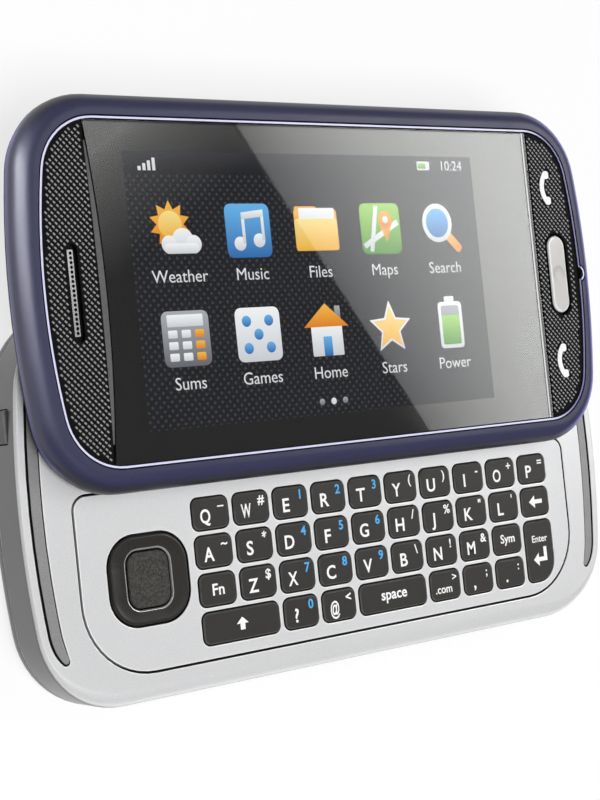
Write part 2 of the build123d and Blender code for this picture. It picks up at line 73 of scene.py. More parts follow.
@contextmanager
def editing(piece):
    """Edit mode on one piece, for as long as a with block lasts."""
    only(piece)
    bpy.ops.object.mode_set(mode="EDIT")
    yield
    bpy.ops.object.mode_set(mode="OBJECT")


def pick(piece, kind, test):
    """In edit mode, select the verts, edges or faces that pass a test."""
    bpy.ops.mesh.select_mode(type={"verts": "VERT", "edges": "EDGE", "faces": "FACE"}[kind])
    bpy.ops.mesh.select_all(action="DESELECT")
    mesh = bmesh.from_edit_mesh(piece.data)
    for item in getattr(mesh, kind):
        item.select_set(bool(test(item)))
    mesh.select_flush_mode()
    bmesh.update_edit_mesh(piece.data)


def plan_solid(name, points, low, high, finish):
    """A closed solid: a circle pulled onto an outline, then extruded between two heights."""
    bpy.ops.object.select_all(action="DESELECT")
    bpy.ops.mesh.primitive_circle_add(vertices=len(points), radius=mm, fill_type="NGON")
    piece = bpy.context.object
    piece.name = piece.data.name = name
    for vertex, (x, y) in zip(piece.data.vertices, points):
        vertex.co = (x, y, low)
    with editing(piece):
        bpy.ops.mesh.select_all(action="SELECT")
        bpy.ops.mesh.extrude_region_move(TRANSFORM_OT_translate={"value": (0, 0, high - low)})
        bpy.ops.mesh.select_all(action="SELECT")
        bpy.ops.mesh.normals_make_consistent(inside=False)
    piece.data.materials.append(finish)
    return piece


# %% Rounding edges
# How far up a face's normal points: at most on a wall, at most on a plumb wall, at least on a top.
wall_slope, plumb_slope, top_slope = 0.1, 0.05, 0.9


def at_height(height):
    """A test for edges that lie at one height."""
    return lambda edge: all(abs(vertex.co.z - height) < tiny for vertex in edge.verts)


def rim_of_wall(height):
    """A test for edges at one height where a flat face meets an upright wall."""
    flat = at_height(height)
    return lambda edge: flat(edge) and any(abs(face.normal.z) < wall_slope for face in edge.link_faces)


def round_edges(piece, size, segments, test, slot=-1):
    """Bevel the edges that pass a test. The new faces can take another material slot."""
    with editing(piece):
        pick(piece, "edges", test)
        bpy.ops.mesh.bevel(offset=size, segments=segments, affect="EDGES", material=slot)


def apply_modifier(piece, kind, **settings):
    """Add a modifier, set it up and apply it."""
    only(piece)
    bpy.ops.object.modifier_add(type=kind)
    modifier = piece.modifiers[-1]
    for label, value in settings.items():
        setattr(modifier, label, value)
    bpy.ops.object.modifier_apply(modifier=modifier.name)
    return piece


def round_by_weight(piece, size, segments, weight):
    """Bevel edges by different amounts: each edge takes its own share of the size."""
    shares = piece.data.attributes.new("bevel_weight_edge", "FLOAT", "EDGE")
    for edge, share in zip(piece.data.edges, shares.data):
        first, last = (piece.data.vertices[index].co for index in edge.vertices)
        share.value = weight(first, last)
    apply_modifier(piece, "BEVEL", width=size, segments=segments, limit_method="WEIGHT")


def soften(piece, size):
    """Break every sharp edge."""
    return apply_modifier(piece, "BEVEL", width=size, segments=3, limit_method="ANGLE",
                          angle_limit=radians(40), miter_outer="MITER_ARC")


# %% Cutting and copying
def combine(piece, other, operation="DIFFERENCE"):
    """Cut a piece with another, or join them. Cut faces keep the other's finish."""
    apply_modifier(piece, "BOOLEAN", operation=operation, object=other, solver="EXACT", material_mode="TRANSFER")
    bpy.data.objects.remove(other)
    return piece


def add_solid(piece, *plan):
    """Fuse a solid to a piece: its outline, its two heights and its finish."""
    return combine(piece, plan_solid("addition", *plan), "UNION")


def cut_solid(piece, *plan):
    """Cut a solid from a piece: its outline, its two heights and the finish of its walls."""
    return combine(piece, plan_solid("cutter", *plan))


def copy_of(model, shift):
    """A copy of a piece, with its own mesh, moved by a shift."""
    piece = model.copy()
    piece.data = model.data.copy()
    piece.data.transform(Matrix.Translation(shift))
    bpy.context.scene.collection.objects.link(piece)
    return piece


# %% Copies of CAD nodes, and the last steps of a piece
def cad_copy(node, name, finish):
    """A copy of a CAD node, with its loose triangles merged into whole faces."""
    piece = copy_of(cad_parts[node], (0, 0, 0))
    piece.name = piece.data.name = name
    piece.parent = None
    for key in list(piece.keys()):
        del piece[key]
    piece.data.materials.clear()
    piece.data.materials.append(finish)
    only(piece)
    bpy.ops.mesh.customdata_custom_splitnormals_clear()
    with editing(piece):
        bpy.ops.mesh.select_all(action="SELECT")
        bpy.ops.mesh.remove_doubles(threshold=tiny)
        bpy.ops.mesh.dissolve_limited(angle_limit=radians(1))
    return piece


def darken_walls(piece):
    """Give a piece's upright faces the near-black finish: painted shade in the gap round it, and black edge paint on
    the cover glass.
    """
    piece.data.materials.append(shade_and_edge_black)
    with editing(piece):
        pick(piece, "faces", lambda face: abs(face.normal.z) < plumb_slope)
        piece.active_material_index = len(piece.data.materials) - 1
        bpy.ops.object.material_slot_assign()


def join(piece, *others):
    """Make other objects part of a piece. Their finishes come with them."""
    only(piece)
    for other in others:
        other.select_set(True)
    bpy.ops.object.join()
    return piece


def set_down(piece, body, slot, *nodes, angle=35):
    """Smooth a finished piece, hang it on the body that carries it and hide the CAD nodes it stands for."""
    only(piece)
    bpy.ops.object.shade_smooth_by_angle(angle=radians(angle))
    apply_modifier(piece, "WEIGHTED_NORMAL", keep_sharp=True)
    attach(piece, body)
    if nodes:
        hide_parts(*nodes)
    print(piece.name, "has", len(piece.data.polygons), "faces and rides on", body)
    return piece


# %% [markdown]
# ## Outlines
#
# Both halves share one outline: straight long sides, gently bowed ends and large round corners that run
# into both. It is worked out from circles. The end is a wide arc, and each corner is a small arc that
# touches the end arc from inside. An inset shrinks every arc by the same amount, so nested outlines
# stay parallel.

# %% Bowed outlines
end_bow = 2.9 * mm


def bow_arcs(half_x, half_y, corner):
    """The end arc's radius, the corner arc's middle, and the turn at which the two arcs meet."""
    reach = (half_y**2 + end_bow**2) / (2 * end_bow)
    corner_y = half_y - corner
    corner_x = half_x - reach + sqrt((reach - corner) ** 2 - corner_y**2)
    return reach, corner_x, corner_y, atan2(corner_y, corner_x - half_x + reach)


def bow_point(half_x, half_y, corner, inset, turn):
    """A point on the right half of a bowed outline, by the direction that it faces."""
    reach, corner_x, corner_y, meet = bow_arcs(half_x, half_y, corner)
    side, turn = (1 if turn >= 0 else -1), abs(turn)
    if turn <= meet:
        return half_x - reach + (reach - inset) * cos(turn), side * (reach - inset) * sin(turn)
    return corner_x + (corner - inset) * cos(turn), side * (corner_y + (corner - inset) * sin(turn))


def bowed_plan(half_x, half_y, corner, centre_y, inset=0.0, steps=12):
    """The whole bowed outline, once round: a quarter and its mirror images."""
    meet = bow_arcs(half_x, half_y, corner)[3]
    turns = [meet * step / steps for step in range(steps)]
    turns += [meet + (pi / 2 - meet) * step / steps for step in range(steps + 1)]
    quarter = [bow_point(half_x, half_y, corner, inset, turn) for turn in turns]
    upper = quarter + [(-x, y) for x, y in reversed(quarter)]
    lower = [(-x, -y) for x, y in quarter[1:]] + [(x, -y) for x, y in reversed(quarter[1:])]
    return [(x, y + centre_y) for x, y in upper + lower]


# %% Plain outlines
def rounded_plan(low, high, radii, steps=8):
    """A rectangle with its own radius at each corner: low right, high right, high left, low left."""
    points = []
    sides = ((high[0], low[1], 1, -1), (high[0], high[1], 1, 1),
             (low[0], high[1], -1, 1), (low[0], low[1], -1, -1))
    for corner, ((x, y, way_x, way_y), radius) in enumerate(zip(sides, radii)):
        if radius <= 0:
            points.append((x, y))
            continue
        for step in range(steps + 1):
            turn = (corner - 1 + step / steps) * pi / 2
            points.append((x - way_x * radius + radius * cos(turn), y - way_y * radius + radius * sin(turn)))
    return points


def rectangle(x, y, half_length, half_width, corner=0.0, steps=6):
    """A rectangle about a middle point, with equal corners."""
    return rounded_plan((x - half_length, y - half_width), (x + half_length, y + half_width), [corner] * 4, steps)


def capsule(x, y, half_width, half_length):
    """An upright slot with round ends."""
    return rectangle(x, y, half_width, half_length, half_width, 10)


def disc_plan(x, y, radius, steps=40):
    """A circle."""
    return [(x + radius * cos(2 * pi * i / steps), y + radius * sin(2 * pi * i / steps)) for i in range(steps)]


def turned(points, degrees, x, y):
    """An outline turned about a point."""
    c, s = cos(radians(degrees)), sin(radians(degrees))
    return [(x + (px - x) * c - (py - y) * s, y + (px - x) * s + (py - y) * c) for px, py in points]


def middle(node):
    """The middle of a CAD node's box."""
    low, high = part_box(node)
    return (low + high) / 2


def centre(node):
    """The middle of a CAD node's box on plan, with all the digits of Python's own numbers."""
    low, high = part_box(node)
    return (low.x + high.x) / 2, (low.y + high.y) / 2


def halves(node):
    """Half the length and half the width of a CAD node's box."""
    low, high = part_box(node)
    return (high.x - low.x) / 2, (high.y - low.y) / 2


# %% [markdown]
# ## Effects that many finishes share
#
# Real paint and plastic are never one flat colour. Four small node groups carry what repeats: a fine
# speckle for paint flake and moulded grain, soft smudges that change the roughness from place to place,
# a painted highlight where a bevel turns away from the face, and a grid of dots. A group only puts out
# colours and masks. The shader itself stays in each material.

# %% Wiring nodes
def feed(tree, node, **values):
    """Set up a node. A small letter starts a setting, a capital an input, and _0 is an input by number.

    An input takes a value, or another node's output.
    """
    for label, value in values.items():
        if label[0].islower():
            setattr(node, label, value)
            continue
        socket = node.inputs[int(label[1:]) if label[0] == "_" else label.replace("_", " ")]
        if isinstance(value, bpy.types.NodeSocket):
            tree.links.new(value, socket)
        else:
            socket.default_value = value
    return node


def add_node(tree, kind, **values):
    """A new shader node, set up."""
    return feed(tree, tree.nodes.new("ShaderNode" + kind), **values)


def math(tree, operation, *values):
    """What a Math node makes of one or two values."""
    inputs = {f"_{number}": value for number, value in enumerate(values)}
    return add_node(tree, "Math", operation=operation, **inputs).outputs[0]


def spread(tree, value, start, end, **settings):
    """A value stretched so that its start becomes 0 and its end 1, unless the settings say otherwise."""
    return add_node(tree, "MapRange", Value=value, From_Min=start, From_Max=end, **settings).outputs["Result"]


def blend(tree, share, low, high):
    """A colour between two others."""
    return add_node(tree, "Mix", data_type="RGBA", Factor=share, _6=low, _7=high).outputs[2]


def axes(tree, vector):
    """The X, Y and Z of a vector."""
    return add_node(tree, "SeparateXYZ", Vector=vector).outputs


# %% Groups for speckle and smudges
VECTOR, FLOAT, COLOR = "NodeSocketVector", "NodeSocketFloat", "NodeSocketColor"


def new_group(name, inputs, outputs):
    """An empty node group with named sockets: the group, what comes in, and the node that takes what goes out."""
    group = bpy.data.node_groups.new(name, "ShaderNodeTree")
    for label, kind, value in inputs:
        socket = group.interface.new_socket(label, in_out="INPUT", socket_type=kind)
        if value is not None:
            socket.default_value = value
    for label, kind in outputs:
        group.interface.new_socket(label, in_out="OUTPUT", socket_type=kind)
    return group, group.nodes.new("NodeGroupInput").outputs, group.nodes.new("NodeGroupOutput")


def noise(group, start, **values):
    """Noise at a group's own vector and scale."""
    return add_node(group, "TexNoise", Vector=start["Vector"], Scale=start["Scale"], **values).outputs["Fac"]


def build_speckle():
    """Fine noise between two colours, with its height for a bump."""
    group, start, end = new_group(
        "speckle",
        [("Vector", VECTOR, None), ("Scale", FLOAT, 5000), ("Dark", COLOR, None), ("Light", COLOR, None)],
        [("Color", COLOR), ("Height", FLOAT)],
    )
    height = spread(group, noise(group, start, Detail=2.0, Roughness=0.6), 0.3, 0.7)
    feed(group, end, Color=blend(group, height, start["Dark"], start["Light"]), Height=height)
    return group


def build_smudge():
    """Broad soft patches between two roughnesses, as from handling."""
    group, start, end = new_group(
        "smudge",
        [("Vector", VECTOR, None), ("Scale", FLOAT, 60), ("Smooth", FLOAT, 0.3), ("Rough", FLOAT, 0.4)],
        [("Roughness", FLOAT)],
    )
    patches = noise(group, start, Detail=4.0, Roughness=0.55, Distortion=0.4)
    feed(group, end, Roughness=spread(group, patches, 0.35, 0.68, To_Min=start["Smooth"], To_Max=start["Rough"]))
    return group


# %% Groups for painted bevel highlights and dots
def build_bevel_highlight():
    """A mask for a painted highlight on bevels: faces that turn away from straight up or down, broken up by noise."""
    group, start, end = new_group(
        "bevel_highlight",
        [("Vector", VECTOR, None), ("Normal", VECTOR, None), ("Scale", FLOAT, 900)],
        [("Mask", FLOAT)],
    )
    flat = math(group, "ABSOLUTE", axes(group, start["Normal"])["Z"])
    bevels = math(group, "MULTIPLY", spread(group, flat, 0.98, 0.75), spread(group, flat, 0.1, 0.4))
    broken = spread(group, noise(group, start, Detail=3.0), 0.3, 0.6, To_Min=0.45)
    feed(group, end, Mask=math(group, "MULTIPLY", bevels, broken))
    return group


def build_dot_grid():
    """Dots in a diamond grid: two crossed waves."""
    group, start, end = new_group(
        "dot_grid",
        [("Vector", VECTOR, None), ("Pitch", FLOAT, mm), ("From", FLOAT, 0.25), ("To", FLOAT, 0.6)],
        [("Mask", FLOAT)],
    )
    place = axes(group, start["Vector"])
    turn = math(group, "DIVIDE", 2 * pi, start["Pitch"])
    falling, rising = (
        math(group, "COSINE", math(group, "MULTIPLY", math(group, way, place["X"], place["Y"]), turn))
        for way in ("ADD", "SUBTRACT")
    )
    wave = math(group, "MULTIPLY", math(group, "SUBTRACT", rising, falling), 0.5)
    feed(group, end, Mask=spread(group, wave, start["From"], start["To"], interpolation_type="SMOOTHSTEP"))
    return group


makers = (build_speckle, build_smudge, build_bevel_highlight, build_dot_grid)
groups = {group.name: group for group in (maker() for maker in makers)}
print("node groups:", sorted(groups))

# %% [markdown]
# ## Finishes
#
# Most of this phone is paint, satin plastic and plated metal, so one recipe covers them: a speckle in
# the base colour, smudges in the roughness, a little of the speckle as bump, and a painted highlight on
# bevels where asked. Some finishes also blend in painted shade, sheen and gleam.
# Metal flake, clear coat and gloss are then only different numbers. The numbers that are the same all
# over the surface are set on the shader itself.

# %% The common recipe
def new_finish(name):
    """A node material: itself, its nodes, its shader and the object's own coordinates."""
    finish = bpy.data.materials.new(name)
    finish.use_nodes = True
    tree = finish.node_tree
    return finish, tree, tree.nodes["Principled BSDF"], add_node(tree, "TexCoord").outputs


def use_group(tree, name, vector, **values):
    """What a group puts out at a vector, with its own values."""
    return add_node(tree, "Group", node_tree=groups[name], Vector=vector, **values).outputs


def gray(value, blue=0.0):
    """A grey with a touch of blue."""
    return (value - blue / 2, value - blue / 4, value + blue / 2, 1)


def faded(tree, colour, value, tint, start, end):
    """Blend a colour into a tint while a value goes from its start to its end."""
    return blend(tree, spread(tree, value, start, end, interpolation_type="SMOOTHSTEP"), colour, tint)


coat_rough, bump_depth = 0.18, 0.05 * mm


def speckled(name, dark, light, grain, rough, metallic=0.0, coat=0.0, bump=0.05, painted_bevel_light=None, stretch=None,
             specular=0.5, glance_sheen=None, side=None, far=()):
    """Paint, plastic or metal: speckle in the colour, smudges in the roughness and a fine bump.

    Optional tints: painted sheen where the surface is seen at a glance, painted shade where its normal
    leans along a given axis (side), painted shade and gleam at places along X (far), and a painted
    highlight on bevels.
    """
    finish, tree, shader, place = new_finish(name)
    vector = place["Object"]
    if stretch:
        vector = add_node(tree, "Mapping", Vector=vector, Scale=stretch).outputs["Vector"]
    speckle = use_group(tree, "speckle", vector, Scale=1 / grain, Dark=dark, Light=light)
    smudge = use_group(tree, "smudge", place["Object"], Smooth=rough[0], Rough=rough[1])
    colour = speckle["Color"]
    # Painted highlight: a lighter colour on bevels, broken up by noise.
    if painted_bevel_light:
        bevel_gleam_mask = use_group(tree, "bevel_highlight", place["Object"], Normal=place["Normal"])
        colour = blend(tree, bevel_gleam_mask["Mask"], colour, painted_bevel_light)
    # Painted sheen: a tint where the surface is seen at a glance.
    if glance_sheen:
        glance = add_node(tree, "LayerWeight", Blend=0.5)
        colour = faded(tree, colour, glance.outputs["Facing"], *glance_sheen)
    # Painted shade: a darker tint where the normal leans along one axis.
    if side:
        lean = math(tree, "ABSOLUTE", axes(tree, place["Normal"])[side[0]])
        colour = faded(tree, colour, lean, *side[1:])
    # Painted shade and gleam: tints at places along X.
    for tint in far:
        colour = faded(tree, colour, axes(tree, place["Object"])["X"], *tint)
    grains = add_node(tree, "Bump", Strength=bump, Distance=bump_depth, Height=speckle["Height"])
    feed(tree, shader, Base_Color=colour, Roughness=smudge["Roughness"], Normal=grains.outputs["Normal"],
         Metallic=metallic, Coat_Weight=coat, Coat_Roughness=coat_rough, Specular_IOR_Level=specular)
    return finish


# %% Painted shells and plated metal
# The shell's upright walls fade to a dark grey: painted shade on the sides of the keyboard half and of its back cover.
silver_shell = speckled(
    "silver_shell", gray(0.62, 0.01), gray(0.74, 0.01), 0.14 * mm, (0.28, 0.36), metallic=0.3, coat=0.3,
    side=("Z", gray(0.09), 0.6, 0.2),
)
silver_fascia = speckled(
    "silver_fascia", gray(0.60, 0.01), gray(0.72, 0.01), 0.14 * mm, (0.30, 0.38), metallic=0.25, coat=0.2
)
# A brighter silver for small bevels: a painted highlight along the edges that it rounds.
rim_highlight_silver = speckled("rim_highlight_silver", gray(0.80), gray(0.88), 0.3 * mm, (0.2, 0.28), metallic=0.2, coat=0.3)
# The navy takes a painted lavender sheen where it is seen at a glance, and painted shade, nearly black, on faces that
# turn towards its long sides.
navy_paint = speckled(
    "navy_paint", (0.014, 0.0142, 0.042, 1), (0.027, 0.0275, 0.080, 1), 0.12 * mm, (0.36, 0.42), specular=0.6,
    glance_sheen=((0.16, 0.15, 0.42, 1), 0.45, 0.75), side=("Y", (0.006, 0.006, 0.011, 1), 0.4, 0.85),
)
# The trim is matt, not metal: its bright lavender-white is painted gleam in place of the plated line's reflection.
# Towards the right end it is painted darker and bluer, and bright again round the notch.
trim_white = (0.62, 0.62, 0.80, 1)
trim_chrome = speckled(
    "trim_chrome", (0.55, 0.55, 0.74, 1), trim_white, 0.5 * mm, (0.14, 0.2), bump=0.01, specular=0.3,
    far=(((0.11, 0.10, 0.28, 1), 40 * mm, 47 * mm), (trim_white, 51.15 * mm, 51.4 * mm)),
)
nav_silver = speckled(
    "nav_silver", (0.43, 0.42, 0.405, 1), (0.50, 0.49, 0.475, 1), 0.1 * mm, (0.34, 0.42),
    metallic=0.25, stretch=(6, 1, 1),
)
# A brighter metal for the bevel round the pad's hole: a painted highlight on that edge.
pad_rim_highlight = speckled("pad_rim_highlight", gray(0.55), gray(0.65), 0.3 * mm, (0.22, 0.3), metallic=0.8)
slide_steel = speckled("slide_steel", gray(0.42), gray(0.58), 0.1 * mm, (0.25, 0.4), metallic=1.0, stretch=(1, 12, 1))
socket_steel = speckled("socket_steel", gray(0.50), gray(0.62), 0.15 * mm, (0.2, 0.3), metallic=1.0)
grille_steel = speckled("grille_steel", gray(0.55), gray(0.70), 0.15 * mm, (0.2, 0.3), metallic=1.0)
print(len(bpy.data.materials), "materials for paint and metal")

# %% Satin plastic and print
# Near-black for the walls of gaps, pockets and holes: painted shade. On the cover glass it is black edge paint.
shade_and_edge_black = speckled("shade_and_edge_black", gray(0.006), gray(0.012), 0.2 * mm, (0.55, 0.7), specular=0.15)
# The keys' bevels are painted lighter, broken up by noise: a painted highlight.
key_dark = speckled(
    "key_dark", (0.018, 0.017, 0.0145, 1), (0.029, 0.027, 0.024, 1), 0.16 * mm, (0.36, 0.46),
    bump=0.12, painted_bevel_light=(0.10, 0.097, 0.09, 1),
)
legend_white = speckled("legend_white", gray(0.78), gray(0.86), 0.3 * mm, (0.4, 0.5))
legend_blue = speckled("legend_blue", (0.05, 0.34, 0.72, 1), (0.08, 0.42, 0.80, 1), 0.3 * mm, (0.4, 0.5))
dpad_dark = speckled(
    "dpad_dark", (0.013, 0.012, 0.0105, 1), (0.020, 0.0185, 0.0165, 1), 0.2 * mm, (0.26, 0.34), coat=0.3
)
dpad_grain = speckled(
    "dpad_grain", (0.010, 0.0095, 0.0085, 1), (0.060, 0.056, 0.050, 1), 0.34 * mm, (0.4, 0.5), bump=0.5
)
strip_grey = speckled("strip_grey", gray(0.26), gray(0.33), 0.2 * mm, (0.35, 0.45), metallic=0.4)
# The power key's bevels are painted lighter: a painted highlight.
power_grey = speckled("power_grey", gray(0.05), gray(0.08), 0.2 * mm, (0.4, 0.5), painted_bevel_light=gray(0.2))
back_dark = speckled("back_dark", gray(0.020), gray(0.034), 0.25 * mm, (0.45, 0.55), bump=0.3)
camera_black = speckled("camera_black", gray(0.012), gray(0.02), 0.3 * mm, (0.2, 0.3), coat=0.3)
battery_wrap = speckled("battery_wrap", gray(0.04), gray(0.06), 0.4 * mm, (0.5, 0.6))
board_green = speckled("board_green", (0.02, 0.13, 0.05, 1), (0.04, 0.2, 0.09, 1), 0.6 * mm, (0.35, 0.5))
mat_rubber = speckled("mat_rubber", gray(0.04), gray(0.06), 0.3 * mm, (0.6, 0.75), bump=0.2)
panel_edge = speckled("panel_edge", gray(0.004), gray(0.008), 0.3 * mm, (0.45, 0.55), specular=0.05)
# The knobs are grey on black plastic: their relief is real, and their lighter grey is a painted highlight.
knob_painted_light = speckled("knob_painted_light", gray(0.23), gray(0.31), 0.15 * mm, (0.32, 0.42), specular=0.2)
print(len(bpy.data.materials), "materials with the plastics")

# %% [markdown]
# ## Glass and the ink behind it
#
# The print behind the cover glass is a dark mirror-like ink, and the glass itself is clear. What the glass
# mirrors and what the print mirrors add up, so the border looks brighter in the glare than the screen.

# %% Print and glass
def clear_glass(name, tint):
    """Polished glass. Faint smudges are its only roughness."""
    finish, tree, shader, place = new_finish(name)
    smudge = use_group(tree, "smudge", place["Object"], Smooth=0.0, Rough=0.015)
    feed(tree, shader, Base_Color=tint, Roughness=smudge["Roughness"], Transmission_Weight=1.0, IOR=1.45)
    return finish


lens_glass = clear_glass("lens_glass", (0.96, 0.98, 0.97, 1))
pupil_glass = clear_glass("pupil_glass", (0.25, 0.28, 0.36, 1))
print_dark = speckled(
    "print_dark", gray(0.042, -0.003), gray(0.045, -0.003), 8 * mm, (0.05, 0.08), metallic=1.0, bump=0.0
)
ground_glass = speckled("ground_glass", gray(0.10), gray(0.13), 0.4 * mm, (0.4, 0.5), specular=0.25)
print("print and glass:", print_dark.name, lens_glass.name)

# %% [markdown]
# ## The navy frame and its bright trim
#
# The frame is a shallow tray with a convex rim. We extrude its outline, round the top rim with a wide
# bevel, and then cut the opening for the screen, with a small round notch at the right end. A bright
# plated line lies all round the opening and follows the notch; its gleam is painted into a matt colour.
# Its walls are painted near-black as shade, so the notch looks like the hole that it is.

# %% Frame
slider_low, slider_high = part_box("slider_frame")
slider_y = centre("slider_frame")[1]
slider_corner, floor_room, overrun = 12 * mm, 0.12 * mm, 2 * mm
slider_plan = (slider_high.x, halves("slider_frame")[1], slider_corner, slider_y)
trim_low, trim_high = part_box("trim_ring")
trim_gap, trim_corner = 0.05 * mm, 8.95 * mm
trim_x, trim_y = trim_gap - trim_low.x, halves("trim_ring")[1] + trim_gap
trim_plan = (trim_x, trim_y, trim_corner, slider_y)
trim_line, notch_radius = 0.5 * mm, 1.0 * mm
rim_round, foot_round, inner_round = 2.7 * mm, 0.4 * mm, 0.08 * mm
lens_low, lens_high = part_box("touch_lens")
pocket_floor = lens_low.z - floor_room


def opening(name, inset, low, high, finish):
    """The screen's opening with its round notch, as a solid."""
    hole = plan_solid(name, bowed_plan(*trim_plan, inset), low, high, finish)
    notch = disc_plan(trim_x - trim_line, slider_y, notch_radius + trim_line - inset)
    return add_solid(hole, notch, low, high, finish)


frame_shell = plan_solid("frame_shell", bowed_plan(*slider_plan), slider_low.z, slider_high.z, navy_paint)
round_edges(frame_shell, rim_round, 14, at_height(slider_high.z))
round_edges(frame_shell, foot_round, 3, at_height(slider_low.z))
# The opening's walls take the near-black painted shade.
combine(frame_shell, opening("frame_opening", 0, pocket_floor, slider_high.z + overrun, shade_and_edge_black))
round_edges(frame_shell, inner_round, 2, rim_of_wall(slider_high.z))
set_down(frame_shell, "slider", "navy_paint", "slider_frame")

# %% Trim
trim_outer, trim_inner, trim_round = 0.20 * mm, 0.49 * mm, 0.1 * mm
trim = opening("trim_line", trim_outer, trim_low.z, trim_high.z, trim_chrome)
combine(trim, opening("trim_inside", trim_inner, trim_low.z - overrun, trim_high.z + overrun, trim_chrome))
soften(trim, trim_round)
# The trim's walls are painted near-black: painted shade in the gaps beside the bright line.
darken_walls(trim)
set_down(trim, "slider", "trim_chrome", "trim_ring")

# %% [markdown]
# ## Glass, print and screen
#
# The glass is a flat plate. Its left end is hollowed in a wide arc, where a thin ground crescent meets
# the textured panel. Its walls are painted black, as on a real cover glass. Behind it lies the print: a
# dark sheet with a window. Behind the window is the screen, which gives off its own light. We put a fine
# grid of faint dots on its wallpaper.

# %% Glass
glass_hollow, panel_bulge = 1.4 * mm, 0.45 * mm
lens_half, lens_round = halves("touch_lens")[1], 0.07 * mm


def end_arc(edge, sag, steps=32):
    """Points down the left end of the glass, bowed to the right by a sag at mid height."""
    heights = [lens_half * (1 - 2 * step / steps) for step in range(steps + 1)]
    return [(edge + sag * (1 - (y / lens_half) ** 2), slider_y + y) for y in heights]


def glass_plan(inset):
    """The outline of the glass, or of the print behind it."""
    right = lens_high.x - inset
    arc = end_arc(lens_low.x + inset, glass_hollow)
    return [(right, lens_low.y + inset), (right, lens_high.y - inset)] + [
        (x, slider_y + (y - slider_y) * (1 - inset / lens_half)) for x, y in arc
    ]


lens = plan_solid("cover_glass", glass_plan(0), lens_low.z, lens_high.z, lens_glass)
lens.data.materials.append(shade_and_edge_black)
round_edges(lens, lens_round, 2, at_height(lens_high.z), 1)
darken_walls(lens)
set_down(lens, "slider", "lens_glass", "touch_lens", angle=20)

# %% Ground end of the glass
line_gap, ground_drop, ground_sink, least_width = 0.14 * mm, 0.25 * mm, 0.03 * mm, 0.02 * mm
pairs = zip(end_arc(lens_low.x - line_gap, glass_hollow), end_arc(lens_low.x, panel_bulge))
pairs = [(near, far) for near, far in pairs if near[0] > far[0] + least_width]
foot = [far for near, far in pairs]
outline = [near for near, far in pairs] + foot[::-1]
crescent = plan_solid("ground_end", outline, lens_low.z, lens_high.z - ground_sink, ground_glass)
with editing(crescent):
    pick(crescent, "verts", lambda vertex: vertex.co.z > lens_low.z + tiny and any(
        abs(vertex.co.x - x) + abs(vertex.co.y - y) < tiny for x, y in foot))
    bpy.ops.transform.translate(value=(0, 0, -ground_drop))
set_down(crescent, "slider", "lens_glass")

# %% Print
display_border, window_corner = 2.2 * mm, 0.2 * mm
display_x = centre("display_module")[0]
display_half_x, display_half_y = (half - display_border for half in halves("display_module"))
print_inset, print_air, print_thickness = 0.08 * mm, 0.01 * mm, 0.10 * mm
screen_top = lens_low.z - print_thickness
print_sheet = plan_solid("lens_print", glass_plan(print_inset), screen_top, lens_low.z - print_air, print_dark)
window = rectangle(display_x, slider_y, display_half_x, display_half_y, window_corner)
cut_solid(print_sheet, window, screen_top - overrun, lens_low.z + overrun, print_dark)
set_down(print_sheet, "slider", "lens_glass")

# %% Lit screen
dot_pitch, panel_air, panel_corner, panel_round = 1.3 * mm, 0.005 * mm, 0.4 * mm, 0.03 * mm


def light_up(tree, shader, colour):
    """Let a shader give off a colour, and mirror nothing."""
    feed(tree, shader, Base_Color=gray(0.004), Emission_Color=colour, Emission_Strength=1.0, Specular_IOR_Level=0.0)


def wallpaper():
    """A lit charcoal ground with soft drifts in it and faint dots on it."""
    finish, tree, shader, place = new_finish("wallpaper")
    dots = use_group(tree, "dot_grid", place["Object"], Pitch=dot_pitch, From=0.3, To=0.8)
    drift = use_group(
        tree, "speckle", place["Object"], Scale=40, Dark=(0.003, 0.003, 0.005, 1), Light=(0.006, 0.006, 0.009, 1)
    )
    light_up(tree, shader, blend(tree, dots["Mask"], drift["Color"], (0.042, 0.043, 0.057, 1)))
    return finish


panel_plan = rectangle(
    display_x, slider_y, display_half_x + display_border, display_half_y + display_border, panel_corner
)
panel_top = screen_top - panel_air
screen = plan_solid("screen_panel", panel_plan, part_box("display_module")[0].z, panel_top, wallpaper())
round_edges(screen, panel_round, 2, at_height(panel_top))
set_down(screen, "slider", "display_black", "display_module")

# %% [markdown]
# ## What the screen shows
#
# A home screen: ten icons in two rows with their names, a bar at the top and page dots at the foot. Each
# icon is a small stack of flat lit shapes, like cut paper, a few thousandths of a millimetre apart. Every
# shape stores how far up it each vertex lies, and its paint blends two colours along that height. A thin
# glowing strip under the right end of the glass is a painted highlight: the bright line of its edge.

# %% Lit paints
def lit_paint(name, low, high):
    """A paint that gives off light, blended from its foot to its head."""
    finish, tree, shader, place = new_finish(name)
    rise = add_node(tree, "Attribute", attribute_name="rise")
    light_up(tree, shader, blend(tree, rise.outputs["Fac"], low, high))
    return finish


lit_white = lit_paint("lit_white", (0.62, 0.64, 0.68, 1), (0.95, 0.95, 0.96, 1))
lit_word = lit_paint("lit_word", (0.70, 0.70, 0.72, 1), (0.80, 0.80, 0.82, 1))
lit_orange = lit_paint("lit_orange", (0.78, 0.22, 0.01, 1), (0.95, 0.50, 0.06, 1))
lit_amber = lit_paint("lit_amber", (0.90, 0.46, 0.04, 1), (0.98, 0.76, 0.28, 1))
lit_blue = lit_paint("lit_blue", (0.02, 0.14, 0.42, 1), (0.14, 0.46, 0.85, 1))
lit_green = lit_paint("lit_green", (0.06, 0.26, 0.02, 1), (0.36, 0.66, 0.12, 1))
lit_grey = lit_paint("lit_grey", (0.13, 0.13, 0.15, 1), (0.42, 0.43, 0.46, 1))
